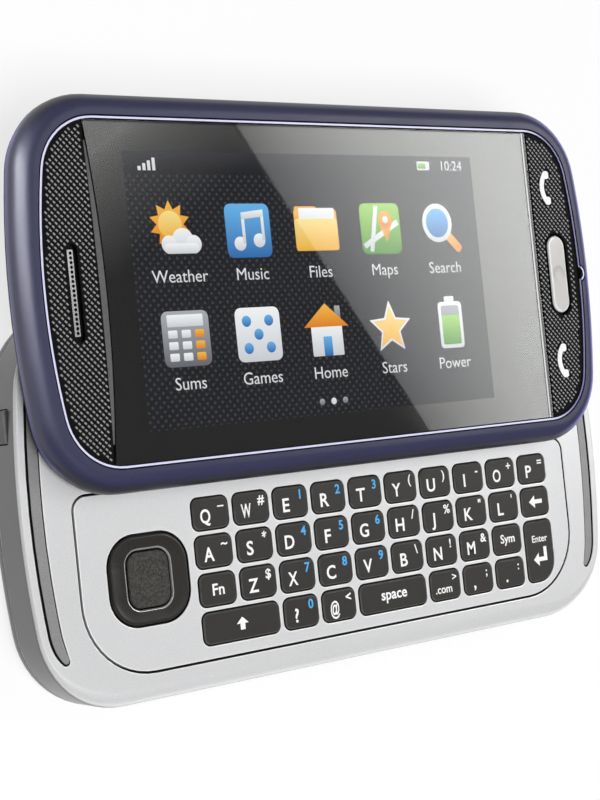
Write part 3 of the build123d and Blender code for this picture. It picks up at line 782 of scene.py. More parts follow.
# A glowing strip for the right end of the glass: a painted highlight where its edge catches the light.
painted_edge_highlight = lit_paint("painted_edge_highlight", gray(0.66), gray(0.74))
lit_bar = lit_paint("lit_bar", (0.004, 0.004, 0.006, 1), (0.022, 0.022, 0.030, 1))
print(len(bpy.data.materials), "materials with the lit paints")

# %% Lit shapes and the line at the glass's end
layer_step, layer_thickness = 0.006 * mm, 0.004 * mm
edge_width, edge_rise, edge_corner = 0.3 * mm, 0.008 * mm, 0.05 * mm


def store_rise(piece):
    """Keep each vertex's share of the piece's own height, along Y."""
    rise = piece.data.attributes.new("rise", "FLOAT", "POINT")
    heights = [vertex.co.y for vertex in piece.data.vertices]
    for item, height in zip(rise.data, heights):
        item.value = (height - min(heights)) / (max(heights) - min(heights))
    return piece


def lit_shape(points, layer, paint, name="shape"):
    """One flat lit shape on its own layer over the wallpaper."""
    low = screen_top + layer * layer_step
    return store_rise(plan_solid(name, points, low, low + layer_thickness, paint))


# The bright line at the glass's right end is a painted highlight: a thin glowing strip under the glass.
edge_line = rounded_plan(
    (lens_high.x - print_inset - edge_width, lens_low.y + print_inset),
    (lens_high.x - print_inset, lens_high.y - print_inset), [edge_corner] * 4, 3,
)
glass_edge_highlight = plan_solid("glass_edge_highlight", edge_line, lens_low.z - edge_rise, lens_low.z - edge_rise / 3, painted_edge_highlight)
set_down(store_rise(glass_edge_highlight), "slider", "lens_glass")

# %% Words
def words(text, x, foot, cap, low, high, finish, weight=0.0, widest=0.0):
    """A printed word: a text curve made a mesh, then set in place. A letter wider than asked is squeezed."""
    bpy.ops.object.select_all(action="DESELECT")
    bpy.ops.object.text_add()
    curve = bpy.context.object.data
    curve.body = text
    curve.size = cap / cap_share
    curve.align_x = "CENTER"
    curve.offset = weight * curve.size
    curve.extrude = (high - low) / 2
    curve.resolution_u = 3
    bpy.ops.object.convert(target="MESH")
    piece = bpy.context.object
    with editing(piece):
        bpy.ops.mesh.select_all(action="SELECT")
        bpy.ops.mesh.remove_doubles(threshold=tiny / 4)
    piece.location = (x, foot, (low + high) / 2)
    if widest and piece.dimensions.x > widest:
        piece.scale.x = widest / piece.dimensions.x
    bpy.ops.object.transform_apply(location=True, rotation=True, scale=True)
    piece.data.materials.clear()
    piece.data.materials.append(finish)
    return piece


def lit_words(text, x, foot, cap):
    """A lit word, just above the wallpaper."""
    low = screen_top + 2 * layer_step
    return store_rise(words(text, x, foot, cap, low, low + layer_thickness, lit_word))


cap_share = 1.0
probe = words("H", 0, 0, 1.0, 0, 0.1, lit_white)
cap_share = max(vertex.co.y for vertex in probe.data.vertices)
bpy.data.objects.remove(probe)
print("a capital is", round(cap_share, 3), "of the letter size")

# %% Shapes in icon units, five to each side of the middle
def box(x, y, half_length, half_width, corner=0.0):
    """An upright box with round corners."""
    return rectangle(x, y, half_length, half_width, corner, 4)


def disc(x, y, radius):
    """A disc."""
    return disc_plan(x, y, radius, 32)


def burst(x, y, outer, inner, tips):
    """A star with its first tip upwards."""
    turns = [pi / 2 + pi * step / tips for step in range(2 * tips)]
    sizes = [outer, inner] * tips
    return [(x + size * cos(turn), y + size * sin(turn)) for turn, size in zip(turns, sizes)]

# %% Icons
tile = box(0, 0, 4.6, 4.6, 1.2)
digits = [(box(2.6 * column, 0.8 - 1.9 * row, 0.9, 0.65, 0.2), lit_orange if column > 0 else lit_white)
          for column in (-1, 0, 1) for row in (0, 1, 2)]
pips = [(disc(x, y, 0.95), lit_blue) for x, y in ((-2.3, 2.3), (2.3, 2.3), (0, 0), (-2.3, -2.3), (2.3, -2.3))]
icons = (
    ("Weather", [(burst(-1, 1.2, 4.0, 2.6, 10), lit_orange), (disc(-1, 1.2, 2.3), lit_amber),
                 (disc(1.2, -1.5, 2.1), lit_white), (disc(-1.5, -2.1, 1.5), lit_white),
                 (disc(3.3, -2.1, 1.5), lit_white), (box(0.9, -2.8, 3.4, 0.85, 0.8), lit_white)]),
    ("Music", [(tile, lit_blue), (disc(-1.9, -2.2, 1.2), lit_white), (disc(2.1, -1.7, 1.2), lit_white),
               (box(-0.98, 0.3, 0.3, 2.5), lit_white), (box(3.02, 0.8, 0.3, 2.5), lit_white),
               ([(-1.28, 1.9), (3.32, 2.4), (3.32, 3.6), (-1.28, 3.1)], lit_white)]),
    ("Files", [(box(-2.1, 2.9, 2.4, 1.2, 0.4), lit_orange), (box(0, 0, 4.7, 3.5, 0.5), lit_orange),
               (box(0.3, 1.2, 3.9, 2.6, 0.2), lit_white), (box(0, -0.9, 4.7, 2.8, 0.5), lit_amber)]),
    ("Maps", [(tile, lit_green), (turned(box(0, -1, 4.6, 0.5), 28, 0, -1), lit_white),
              (turned(box(-1.6, 0, 0.45, 4.2), -12, -1.6, 0), lit_white),
              ([(-0.25, 0.9), (1.2, -2.4), (2.65, 0.9)], lit_orange), (disc(1.2, 1.6, 1.6), lit_orange),
              (disc(1.2, 1.6, 0.65), lit_white)]),
    ("Search", [(turned(box(2.6, -2.6, 2.4, 0.85, 0.6), -45, 2.6, -2.6), lit_orange),
                (disc(-0.9, 0.9, 3.6), lit_white), (disc(-0.9, 0.9, 2.7), lit_blue)]),
    ("Sums", [(tile, lit_grey), (box(0, 3.0, 3.5, 1.0, 0.2), lit_white)] + digits),
    ("Games", [(tile, lit_white)] + pips),
    ("Home", [(box(2.7, 2.6, 0.6, 1.6), lit_grey), (box(0, -1.7, 3.4, 2.8, 0.2), lit_white),
              ([(-4.9, 0.6), (4.9, 0.6), (0, 4.7)], lit_orange), (box(0, -2.8, 0.95, 1.7, 0.2), lit_blue)]),
    ("Stars", [(burst(0, -0.3, 5.0, 2.3, 5), lit_white), (burst(0, -0.3, 4.1, 1.85, 5), lit_amber)]),
    ("Power", [(box(0, 4.3, 1.2, 0.6, 0.2), lit_white), (box(0, -0.4, 2.9, 4.3, 0.8), lit_white),
               (box(0, -0.4, 2.2, 3.6, 0.4), lit_grey), (box(0, -1.3, 2.2, 2.7, 0.4), lit_green)]),
)
print(len(icons), "icons drawn")

# %% Icons in their places
icon_unit, column_pitch, row_pitch = 0.86 * mm, 12.5 * mm, 15.2 * mm
first_row, label_drop, label_cap = 8.2 * mm, 7.2 * mm, 1.75 * mm
for number, (label, shapes) in enumerate(icons):
    x = display_x + (number % 5 - 2) * column_pitch
    y = slider_y + first_row - (number // 5) * row_pitch
    pieces = [
        lit_shape([(x + icon_unit * px, y + icon_unit * py) for px, py in outline], layer, paint)
        for layer, (outline, paint) in enumerate(shapes)
    ]
    icon = join(*pieces, lit_words(label, x, y - label_drop, label_cap))
    icon.name = icon.data.name = "icon_" + label.lower()
    set_down(icon, "slider", "display_black")

# %% Top bar and page dots
bar_half = 1.5 * mm
bar_y = slider_y + display_half_y - bar_half
mark_x, mark_y, mark_pitch, mark_growth = display_x - 30 * mm, bar_y - 0.9 * mm, 0.8 * mm, 0.2 * mm
mark_half_width, mark_half_height = 0.25 * mm, 0.3 * mm
cell_x, cell_size = display_x + 22.5 * mm, (1.3 * mm, 0.7 * mm, 0.2 * mm)
charge_x, charge_size = display_x + 22.2 * mm, (0.8 * mm, 0.45 * mm)
clock_x, clock_foot, clock_cap = display_x + 28.3 * mm, bar_y - 0.7 * mm, 1.5 * mm
dot_y, dot_step, dot_radius = slider_y - display_half_y + 1.9 * mm, 2.2 * mm, 0.5 * mm
top_bar = lit_shape(rectangle(display_x, bar_y, display_half_x, bar_half), 0, lit_bar, "top_bar")
clock = lit_words("10:24", clock_x, clock_foot, clock_cap)
marks = [
    lit_shape(rectangle(mark_x + step * mark_pitch, mark_y + step * mark_growth,
                        mark_half_width, mark_half_height + step * mark_growth), 1, lit_word)
    for step in range(4)
]
marks.append(lit_shape(rectangle(cell_x, bar_y, *cell_size), 1, lit_word))
marks.append(lit_shape(rectangle(charge_x, bar_y, *charge_size), 2, lit_green))
marks += [
    lit_shape(disc_plan(display_x + step * dot_step, dot_y, dot_radius, 20), 1, lit_grey if step else lit_word)
    for step in (-1, 0, 1)
]
set_down(join(top_bar, clock, *marks), "slider", "display_black")

# %% [markdown]
# ## Textured end panels, earpiece and oblong key
#
# Beside the glass lie two black panels with rows of small raised knobs. Each is the screen's outline cut
# off at the edge of the glass, with a smaller field that stands a little above a plain margin. One knob is
# a low block with sloping sides. It is copied onto a diamond grid, wherever a place is well inside the
# field and clear of its holes. The left panel has the earpiece slot with a pierced bright bar in it. The
# right one rocks, carries two white handset signs, and leaves room for a silver key with a hollow.

# %% Outlines of the end panels
def clip_plan(points, limit, side, bulge, steps=24):
    """The part of an outline on one side of an upright line, which can bulge outwards."""
    kept = []
    for (x0, y0), (x1, y1) in zip(points, points[1:] + points[:1]):
        if side * (x0 - limit) >= 0:
            kept.append((x0, y0))
        if (x0 - limit) * (x1 - limit) < 0:
            kept.append((limit, y0 + (limit - x0) / (x1 - x0) * (y1 - y0)))
            if side * (x0 - limit) > 0:
                leave = len(kept)
    low, high = sorted(y for x, y in kept if x == limit)
    shares = [step / steps for step in range(1, steps)]
    if kept[leave - 1][1] == high:
        shares.reverse()
    line = [(limit - side * 4 * bulge * share * (1 - share), low + share * (high - low)) for share in shares]
    return kept[:leave] + line + kept[leave:]


def end_plan(limit, side, inset, bulge, margin=0.0):
    """The outline of an end panel, or of its field."""
    return clip_plan(bowed_plan(*trim_plan, inset + margin), limit, side, bulge)


def inside_by(x, y, outline, gap):
    """Whether a place is inside an outline (1), outside it (-1), or nearer to its line than a gap (0)."""
    way = -1
    for (x0, y0), (x1, y1) in zip(outline, outline[1:] + outline[:1]):
        if (y0 > y) != (y1 > y) and x < x0 + (y - y0) / (y1 - y0) * (x1 - x0):
            way = -way
        run = max((x1 - x0) ** 2 + (y1 - y0) ** 2, tiny**2)
        share = max(0.0, min(1.0, ((x - x0) * (x1 - x0) + (y - y0) * (y1 - y0)) / run))
        if (x - x0 - share * (x1 - x0)) ** 2 + (y - y0 - share * (y1 - y0)) ** 2 < gap**2:
            return 0
    return way


# %% Plates with knobs
panel_margin, panel_step = 0.35 * mm, 0.06 * mm
knob_pitch, knob_rise, knob_sink = 0.475 * mm, 0.07 * mm, 0.02 * mm
knob_half_length, knob_half_width, knob_taper, knob_gap = 0.24 * mm, 0.14 * mm, 0.7, 0.24 * mm


def end_plate(name, plan, low, high):
    """A black plate with a field on it, inside a plain margin."""
    plate = plan_solid(name, end_plan(*plan), low, high - knob_rise - panel_step, panel_edge)
    return add_solid(plate, end_plan(*plan, panel_margin), low, high - knob_rise, panel_edge)


def knobs_on(panel, plan, holes, high):
    """Cover a field with knobs: one is modelled, and copied to every place that is clear."""
    block = turned(rectangle(0, 0, knob_half_length, knob_half_width), -45, 0, 0)
    # Its grey is a painted highlight on the black panel.
    knob = plan_solid("knob", block, high - knob_rise - knob_sink, high, knob_painted_light)
    with editing(knob):
        pick(knob, "verts", lambda vertex: vertex.co.z > high - tiny)
        bpy.ops.transform.resize(value=(knob_taper, knob_taper, 1), center_override=(0, 0, high))
    field = end_plan(*plan, panel_margin)
    across = sorted(x for x, y in field)
    rows = range(round((slider_y - trim_y) / knob_pitch), round((slider_y + trim_y) / knob_pitch))
    columns = range(round(across[0] / knob_pitch), round(across[-1] / knob_pitch) + 1)
    places = [(column * knob_pitch, row * knob_pitch) for row in rows for column in columns
              if (row + column) % 2 == 0]
    copies = [
        copy_of(knob, (x, y, 0)) for x, y in places
        if inside_by(x, y, field, knob_gap) == 1 and all(inside_by(x, y, hole, knob_gap) == -1 for hole in holes)
    ]
    bpy.data.objects.remove(knob)
    print(len(copies), "knobs on", panel.name)
    join(panel, *copies)


# %% Earpiece panel
ear_low, ear_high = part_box("earpiece_panel")
ear_plan = (ear_high.x, -1, trim_x + ear_low.x, panel_bulge)
ear_slot_half = (0.8 * mm, 6.7 * mm)
ear_slot = capsule(middle("earpiece_grille").x, slider_y, *ear_slot_half)
ear_panel = end_plate("ear_panel", ear_plan, ear_low.z, ear_high.z)
cut_solid(ear_panel, ear_slot, ear_low.z - overrun, ear_high.z + overrun, panel_edge)
knobs_on(ear_panel, ear_plan, [ear_slot], ear_high.z)
set_down(ear_panel, "slider", "panel_black", "earpiece_panel")

# %% Earpiece bar
bar_low, bar_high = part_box("earpiece_grille")
bar_floor, bar_corner, pierced_half = bar_low.z + 0.3 * mm, 0.1 * mm, 0.48 * mm
hole_pitch, hole_count, hole_radius, hole_shift = 0.64 * mm, 18, 0.24 * mm, 0.1 * mm
pierced_x = bar_low.x + pierced_half
pierced = rectangle(pierced_x, slider_y, pierced_half, halves("earpiece_grille")[1], bar_corner)
first_hole = disc_plan(pierced_x + hole_shift, slider_y - (hole_count - 1) / 2 * hole_pitch, hole_radius, 12)
bar_plan = rounded_plan(bar_low.xy, bar_high.xy, [bar_corner] * 4)
ear_bar = plan_solid("ear_bar", bar_plan, bar_low.z, bar_floor, panel_edge)
add_solid(ear_bar, pierced, bar_low.z, bar_high.z, grille_steel)
# The holes are lined with near-black painted shade.
hole = plan_solid("hole", first_hole, bar_floor, bar_high.z + overrun, shade_and_edge_black)
holes = [copy_of(hole, (0, step * hole_pitch, 0)) for step in range(1, hole_count)]
combine(ear_bar, join(hole, *holes))
set_down(ear_bar, "slider", "grille_steel", "earpiece_grille")

# %% Rocking panel with its signs
rock_low, rock_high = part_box("call_end_rocker")
nav_low, nav_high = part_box("nav_key")
nav_x, nav_extra, nav_recess = centre("nav_key")[0], 0.15 * mm, 0.5 * mm
nav_half_width, nav_half_length = halves("nav_key")[0] + nav_extra, halves("nav_key")[1]
rock_plan, field_top, rock_round = (rock_low.x, 1, trim_x - rock_high.x, 0), rock_high.z - knob_rise, 0.1 * mm
sign_x, sign_reach, sign_top = 44.6 * mm, 14.55 * mm, rock_high.z + 0.03 * mm
sign_unit_x, sign_unit_y, spine_step, belly_step = 1.3 * mm, 1.04 * mm, 0.27, 0.145


def handset(x, y):
    """A handset sign: a bowed spine with two ears to the right."""
    back, inner, bend = 4.3, 3.55, 3.5
    spine = [(bend - sqrt(back**2 - (step * spine_step) ** 2), step * spine_step) for step in range(-10, 11)]
    ear = [(0.6, 2.75), (0.95, 2.5), (0.95, 1.7), (0.7, 1.45)]
    belly = [(bend - sqrt(inner**2 - (step * belly_step) ** 2), step * belly_step) for step in range(10, -11, -1)]
    sign = spine + ear + belly + [(px, -py) for px, py in reversed(ear)]
    return [(x + px * sign_unit_x, y + py * sign_unit_y) for px, py in sign]


recess = capsule(nav_x, slider_y, nav_half_width + nav_recess, nav_half_length + nav_recess)
rock_panel = end_plate("rock_panel", rock_plan, nav_low.z, rock_high.z)
cut_solid(rock_panel, recess, nav_low.z - overrun, rock_high.z + overrun, panel_edge)
round_edges(rock_panel, rock_round, 2, rim_of_wall(field_top))
sign_plans = [handset(sign_x, slider_y + way * sign_reach) for way in (1, -1)]
signs = [plan_solid("sign", plan, field_top - knob_sink, sign_top, legend_white) for plan in sign_plans]
knobs_on(rock_panel, rock_plan, [recess, *sign_plans], rock_high.z)
set_down(join(rock_panel, *signs), "call_end_rocker", "panel_black", "call_end_rocker")

# %% Oblong key
nav_round, dish_radius, dish_depth = 0.34 * mm, 7 * mm, 0.16 * mm
nav_plan = capsule(nav_x, slider_y, nav_half_width, nav_half_length)
nav = plan_solid("thumb_key", nav_plan, nav_low.z, nav_high.z, nav_silver)
# The key's rounded top edge gets a brighter silver, a painted highlight, and its walls near-black painted shade.
nav.data.materials.append(rim_highlight_silver)
round_edges(nav, nav_round, 4, at_height(nav_high.z), 1)
darken_walls(nav)
bpy.ops.object.select_all(action="DESELECT")
bpy.ops.mesh.primitive_uv_sphere_add(
    segments=48, ring_count=32, radius=dish_radius, location=(nav_x, slider_y, nav_high.z + dish_radius - dish_depth)
)
bpy.context.object.data.materials.append(nav_silver)
combine(nav, bpy.context.object)
set_down(nav, "nav_key", "nav_silver", "nav_key")

# %% [markdown]
# ## The silver keyboard half
#
# Its body is one moulded shell with a rounded deck edge and a shallow tray under it, so we extrude the
# outline twice. Pockets for the keyboard plate, the end strips, the power key and the socket are cut
# with near-black linings of painted shade, which draw the fine dark lines that shade makes in the real
# phone's gaps. The rims of the pockets get a brighter silver, a painted highlight.

# %% Outlines on the deck
base_low, base_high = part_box("base_housing")
cover_low, cover_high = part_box("rear_cover")
base_y, base_corner = centre("base_housing")[1], 13 * mm
base_arcs = (base_high.x, halves("base_housing")[1], base_corner)
seam, deck = cover_high.z, base_high.z
fascia_low, fascia_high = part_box("keypad_fascia")
fascia_radii = (10.6 * mm, 2.0 * mm, 2.0 * mm, 10.6 * mm)
plate_inset, plate_rise = 0.55 * mm, 0.4 * mm
strip_low, strip_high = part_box("end_strips")
strip_inset, strip_reach = base_high.x - strip_high.x + 0.7 * mm, halves("end_strips")[1]
slot_half, strip_half, strip_shift, strip_depth = 1.05 * mm, 0.78 * mm, 0.13 * mm, 0.5 * mm


def fascia_plan(grow):
    """The keyboard plate's outline, grown or shrunk all round."""
    return rounded_plan(
        (fascia_low.x + plate_inset - grow, fascia_low.y + plate_rise - grow),
        (fascia_high.x - plate_inset + grow, fascia_high.y + grow), [radius + grow for radius in fascia_radii], 12,
    )


def end_ribbon(inset, half_width, reach, steps=30):
    """A strip that follows the right end of the keyboard half, and narrows to round tips."""
    def point(turn, depth):
        x, y = bow_point(*base_arcs, depth, turn)
        return x, y + base_y

    tip, limit, turn_step = 0.6 * half_width, 0.0, 0.001
    while point(limit, inset)[1] - base_y < reach - tip:
        limit += turn_step
    turns = [limit * (2 * step / steps - 1) for step in range(steps + 1)]
    widths = [half_width - (half_width - tip) * abs(turn / limit) ** 4 for turn in turns]
    points = [point(turn, inset - width) for turn, width in zip(turns, widths)]
    for start, heart in ((limit, point(limit, inset)), (pi - limit, point(-limit, inset))):
        turns_of_tip = [start + pi * step / 8 for step in range(1, 8)]
        points += [(heart[0] + tip * cos(turn), heart[1] + tip * sin(turn)) for turn in turns_of_tip]
        if start == limit:
            points += [point(turn, inset + width) for turn, width in zip(reversed(turns), reversed(widths))]
    return points


def strip_plan(way, shift, half_width):
    """One end strip or its slot: the right one, or its mirror image. A shift moves it inwards."""
    ribbon = end_ribbon(strip_inset + shift, half_width, strip_reach + half_width - slot_half)
    return [(way * x, y) for x, y in ribbon]


print("the deck is at", round(deck / mm, 2), "mm, and its seam at", round(seam / mm, 2), "mm")

# %% Edge and pockets of the shell
lip, least_share, seam_round, deck_round = 2.6 * mm, 0.22, 0.18 * mm, 0.14 * mm
fascia_gap, fascia_ledge, pocket_room = 0.32 * mm, 1.2 * mm, 0.1 * mm


def lip_share(first, last):
    """The deck's edge is rounded widely along its low side, and much less round its ends."""
    if abs(first.z - deck) > tiny or abs(last.z - deck) > tiny:
        return 0.0
    run = last - first
    facing = abs(run.x) / run.length if (first.y + last.y) / 2 < base_y else 0.0
    return least_share + (1 - least_share) * facing**3


def pocket(points, low, high):
    """A pocket lined with near-black painted shade, ready to be cut."""
    return plan_solid("pocket", points, low, high, shade_and_edge_black)


def grown(node, grow):
    """A CAD node's box with room round it, as the outline of a pocket."""
    low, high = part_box(node)
    return rounded_plan((low.x - grow, low.y - grow), (high.x + grow, high.y + grow), [0] * 4)

# %% Shell of the keyboard half
base_shell = plan_solid("base_shell", bowed_plan(*base_arcs, base_y), seam, deck, silver_shell)
round_by_weight(base_shell, lip, 8, lip_share)
round_edges(base_shell, seam_round, 2, at_height(seam))
# The pockets' walls and floors are lined with near-black painted shade.
pockets = [
    pocket(fascia_plan(fascia_gap), fascia_low.z, deck + overrun),
    pocket(strip_plan(1, 0, slot_half), deck - strip_depth, deck + overrun),
    pocket(strip_plan(-1, 0, slot_half), deck - strip_depth, deck + overrun),
    pocket(grown("slide_plate", pocket_room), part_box("slide_plate")[0].z, deck + overrun),
    pocket(grown("battery", pocket_room), seam - overrun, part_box("battery")[1].z),
    pocket(grown("camera_module", pocket_room), seam - overrun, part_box("camera_module")[1].z),
]
combine(base_shell, join(*pockets))
combine(base_shell, pocket(fascia_plan(-fascia_ledge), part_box("main_board")[0].z, deck))
# The rims of the pockets on the deck get a brighter silver: a painted highlight.
base_shell.data.materials.append(rim_highlight_silver)
round_edges(base_shell, deck_round, 2, rim_of_wall(deck), len(base_shell.data.materials) - 1)

# %% Pockets in the end walls
side_room, power_room = 0.15 * mm, 0.4 * mm
power_low, power_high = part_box("power_key")
socket_low, socket_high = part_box("charge_socket")
# The side pockets are lined with near-black painted shade.
for low, high, left, right in (
    (power_low, power_high, power_low.x - overrun, power_high.x + power_room),
    (socket_low, socket_high, socket_low.x, socket_high.x + overrun),
):
    side_pocket = rounded_plan((left, low.y - side_room), (right, high.y + side_room), [0] * 4)
    combine(base_shell, pocket(side_pocket, low.z - side_room, high.z + side_room))
set_down(base_shell, "base", "silver_shell", "base_housing")

# %% Rear cover
cover_round, cover_wall, bore_radius, bore_round = 2.2 * mm, 1.2 * mm, 3.75 * mm, 0.15 * mm
outlet_x, outlet_y, outlet_pitch = -42 * mm, -2.25 * mm, 1.8 * mm
outlet_half_length, outlet_half_width, outlet_corner = 3.5 * mm, 0.45 * mm, 0.44 * mm
camera_middle = middle("camera_module")
cover = plan_solid("back_cover", bowed_plan(*base_arcs, base_y), cover_low.z, seam, silver_shell)
round_edges(cover, cover_round, 10, at_height(cover_low.z))
round_edges(cover, seam_round, 2, at_height(seam))
# The cover's hollow, camera bore and outlet slots are lined with near-black painted shade.
combine(cover, pocket(bowed_plan(*base_arcs, base_y, cover_wall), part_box("battery")[0].z, seam + overrun))
openings = [pocket(disc_plan(camera_middle.x, camera_middle.y, bore_radius, 48), -overrun, seam)]
for step in range(-2, 3):
    slot = rectangle(outlet_x, outlet_y + step * outlet_pitch, outlet_half_length, outlet_half_width, outlet_corner, 5)
    openings.append(pocket(slot, -overrun, seam))
combine(cover, join(*openings))
round_edges(cover, bore_round, 2, rim_of_wall(cover_low.z))
set_down(cover, "base", "silver_shell", "rear_cover")

# %% End strips
strip_round = 0.1 * mm
strips = [
    plan_solid("end_strip", strip_plan(way, strip_shift, strip_half), strip_low.z, strip_high.z, strip_grey)
    for way in (1, -1)
]
# Each strip's walls are painted near-black: painted shade in the slot round it.
for strip in strips:
    round_edges(strip, strip_round, 2, at_height(strip_high.z))
    darken_walls(strip)
set_down(join(*strips), "base", "strip_grey", "end_strips")

# %% [markdown]
# ## Keyboard plate and keys
#
# The plate is flush with the deck and has a round-cornered window for every key. We join all the window
# shapes and cut them in one go. A key is a cap on a wider flange that keeps it from falling out. One cap
# is modelled and copied to every place of its size, each copy with its own mesh, and then the legends
# are printed on it: a white letter at the left and a smaller sign at the right.

# %% Keyboard plate
flange_reach, key_gap, window_round = 0.35 * mm, 0.15 * mm, 0.18 * mm
key_corner, tail_corner, tall_key = 1.1 * mm, 3.6 * mm, 8 * mm
key_names = [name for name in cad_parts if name.startswith("key_")]
pad_x, pad_y = middle("dpad_center").xy
ring_half_x, ring_half_y, ring_corner, ring_gap = 6.45 * mm, 6.3 * mm, 4.4 * mm, 0.25 * mm


def cap_plan(node, grow):
    """A key cap's outline: its CAD box without the flange. A tall key's low right corner is larger."""
    low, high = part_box(node)
    edge = flange_reach - grow
    corners = [tail_corner if high.y - low.y > tall_key else key_corner, key_corner, key_corner, key_corner]
    return rounded_plan((low.x + edge, low.y + edge), (high.x - edge, high.y - edge), [c + grow for c in corners], 6)


def pad_plan(half_x, half_y, corner, grow, steps):
    """An outline about the direction pad's middle, grown all round."""
    return rectangle(pad_x, pad_y, half_x + grow, half_y + grow, corner + grow, steps)


plate = plan_solid("key_plate", fascia_plan(0), fascia_low.z, fascia_high.z, silver_fascia)
window_plans = [cap_plan(node, key_gap) for node in key_names]
window_plans.append(pad_plan(ring_half_x, ring_half_y, ring_corner, ring_gap, 10))
# The key windows are lined with near-black painted shade, and their rims get a brighter silver, a painted highlight.
combine(plate, join(*[pocket(plan, fascia_low.z - overrun, deck + overrun) for plan in window_plans]))
plate.data.materials.append(rim_highlight_silver)
round_edges(plate, window_round, 2, rim_of_wall(fascia_high.z), len(plate.data.materials) - 1)
set_down(plate, "base", "silver_fascia", "keypad_fascia")

# %% Key caps
key_floor, key_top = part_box("key_q")[0].z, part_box("key_q")[1].z
print_lift, cap_slack, cap_round, flange_corner, flange_height = 0.012 * mm, 0.06 * mm, 0.32 * mm, 0.3 * mm, 0.4 * mm


def key_cap(node):
    """A rounded cap on a flange, modelled at one key's place."""
    low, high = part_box(node)
    cap = plan_solid("cap", cap_plan(node, -cap_slack), key_floor, key_top - print_lift, key_dark)
    round_edges(cap, cap_round, 4, at_height(key_top - print_lift))
    # The cap's walls are painted near-black: painted shade in the gap round the key.
    darken_walls(cap)
    flange = rounded_plan(low.xy, high.xy, [flange_corner] * 4, 2)
    return add_solid(cap, flange, key_floor, key_floor + flange_height, key_dark)


caps, models = {}, {}
for node in key_names:
    size = tuple(round(2 * half / mm, 1) for half in halves(node))
    model = models.setdefault(size, node)
    caps[node] = key_cap(node) if model == node else copy_of(caps[model], middle(node) - middle(model))
print(len(caps), "caps from", len(models), "models")

# %% Printing on a key
letter_cap, sign_cap, letter_width, print_depth = 1.95 * mm, 1.35 * mm, 1.75 * mm, 0.05 * mm
letter_side, letter_foot, sign_side, sign_foot = -1.0 * mm, -1.35 * mm, 1.75 * mm, 0.35 * mm
letter_weight, sign_weight, small_weight = 0.018, 0.02, 0.015
second_signs = zip("qwertyuiopasdfghjklzxcvbnm", "\u2013#123()-+=~*456/%\"'$789\\!&")
letters = [(key, key.upper(), sign) for key, sign in second_signs]
letters += [("question", "?", "0"), ("at", "@", "<"), ("comma", ",", ";"), ("period", ".", ":")]
prints = {node: [] for node in key_names}


def key_print(key, text, side, foot, cap, weight, finish=legend_white):
    """Letters printed on a key, placed from its middle."""
    place, widest = middle("key_" + key), letter_width if len(text) == 1 else 0
    prints["key_" + key].append(words(
        text, place.x + side, place.y + foot, cap, key_top - print_depth, key_top, finish, weight, widest))


def key_sign(key, points):
    """A drawn sign printed on a key, in millimetres from its middle."""
    place = middle("key_" + key)
    outline = [(place.x + x * mm, place.y + y * mm) for x, y in points]
    prints["key_" + key].append(plan_solid("print", outline, key_top - print_depth, key_top, legend_white))

# %% Legends on the keys
for key, letter, sign in letters:
    key_print(key, letter, letter_side, letter_foot, letter_cap, letter_weight)
    tint = legend_blue if sign.isdigit() else legend_white
    key_print(key, sign, sign_side, sign_foot, sign_cap, sign_weight, tint)
for key, text, side, foot, cap, weight in (
    ("function", "Fn", 0, -0.8, 1.6, letter_weight), ("symbol", "Sym", 0, -0.5, 1.35, letter_weight),
    ("space", "space", 0, -0.55, 1.6, letter_weight), ("dotcom", ".com", -0.5, -1.2, 1.25, small_weight),
    ("dotcom", ">", 1.9, 0.5, 1.2, small_weight), ("enter", "Enter", 0, 1.5, 1.1, small_weight),
):
    key_print(key, text, side * mm, foot * mm, cap * mm, weight)
key_sign("enter", [(-1.7, -1.4), (-0.5, -0.3), (-0.5, -1.05), (0.7, -1.05), (0.7, 0.6), (1.4, 0.6), (1.4, -1.75),
                   (-0.5, -1.75), (-0.5, -2.5)])
key_sign("backspace", [(-1.5, 0), (-0.2, 1.05), (-0.2, 0.35), (1.5, 0.35), (1.5, -0.35), (-0.2, -0.35), (-0.2, -1.05)])
key_sign("shift", [(0, 0.95), (1.05, 0), (0.42, 0), (0.42, -0.9), (-0.42, -0.9), (-0.42, 0), (-1.05, 0)])
for node, cap in caps.items():
    cap.name = cap.data.name = "cap_" + node[4:]
    set_down(join(cap, *prints[node]), node, "key_dark", node)

# %% [markdown]
# ## Direction pad
#
# A soft square ring tips under the thumb, with a press key in its middle. The ring is a rounded block
# with a hole. Its outer edge is well rounded, its face falls into a shallow dish, and the bevel round its
# hole gets a brighter metal of its own, a painted highlight. The middle key has a grainy face.

# %% Ring
ring_low, ring_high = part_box("dpad_ring")
mid_low, mid_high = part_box("dpad_center")
mid_slack, mid_corner, mid_gap = 0.25 * mm, 1.8 * mm, 0.2 * mm
mid_half_x, mid_half_y = (half - mid_slack for half in halves("dpad_center"))
dish_inset, dish_drop = 1.85 * mm, 0.32 * mm
ring_round, hole_round, ring_flange_corner = 0.55 * mm, 0.3 * mm, 2.4 * mm
ring_plan = pad_plan(ring_half_x, ring_half_y, ring_corner, 0, 12)
ring = plan_solid("pad_ring", ring_plan, ring_low.z, ring_high.z, dpad_dark)
with editing(ring):
    pick(ring, "faces", lambda face: face.normal.z > top_slope)
    bpy.ops.mesh.inset(thickness=dish_inset)
    bpy.ops.transform.translate(value=(0, 0, -dish_drop))
round_edges(ring, ring_round, 6, at_height(ring_high.z))
ring_flange = rounded_plan(ring_low.xy, ring_high.xy, [ring_flange_corner] * 4)
add_solid(ring, ring_flange, ring_low.z, ring_low.z + flange_height, dpad_dark)
ring_hole = pad_plan(mid_half_x, mid_half_y, mid_corner, mid_gap, 8)
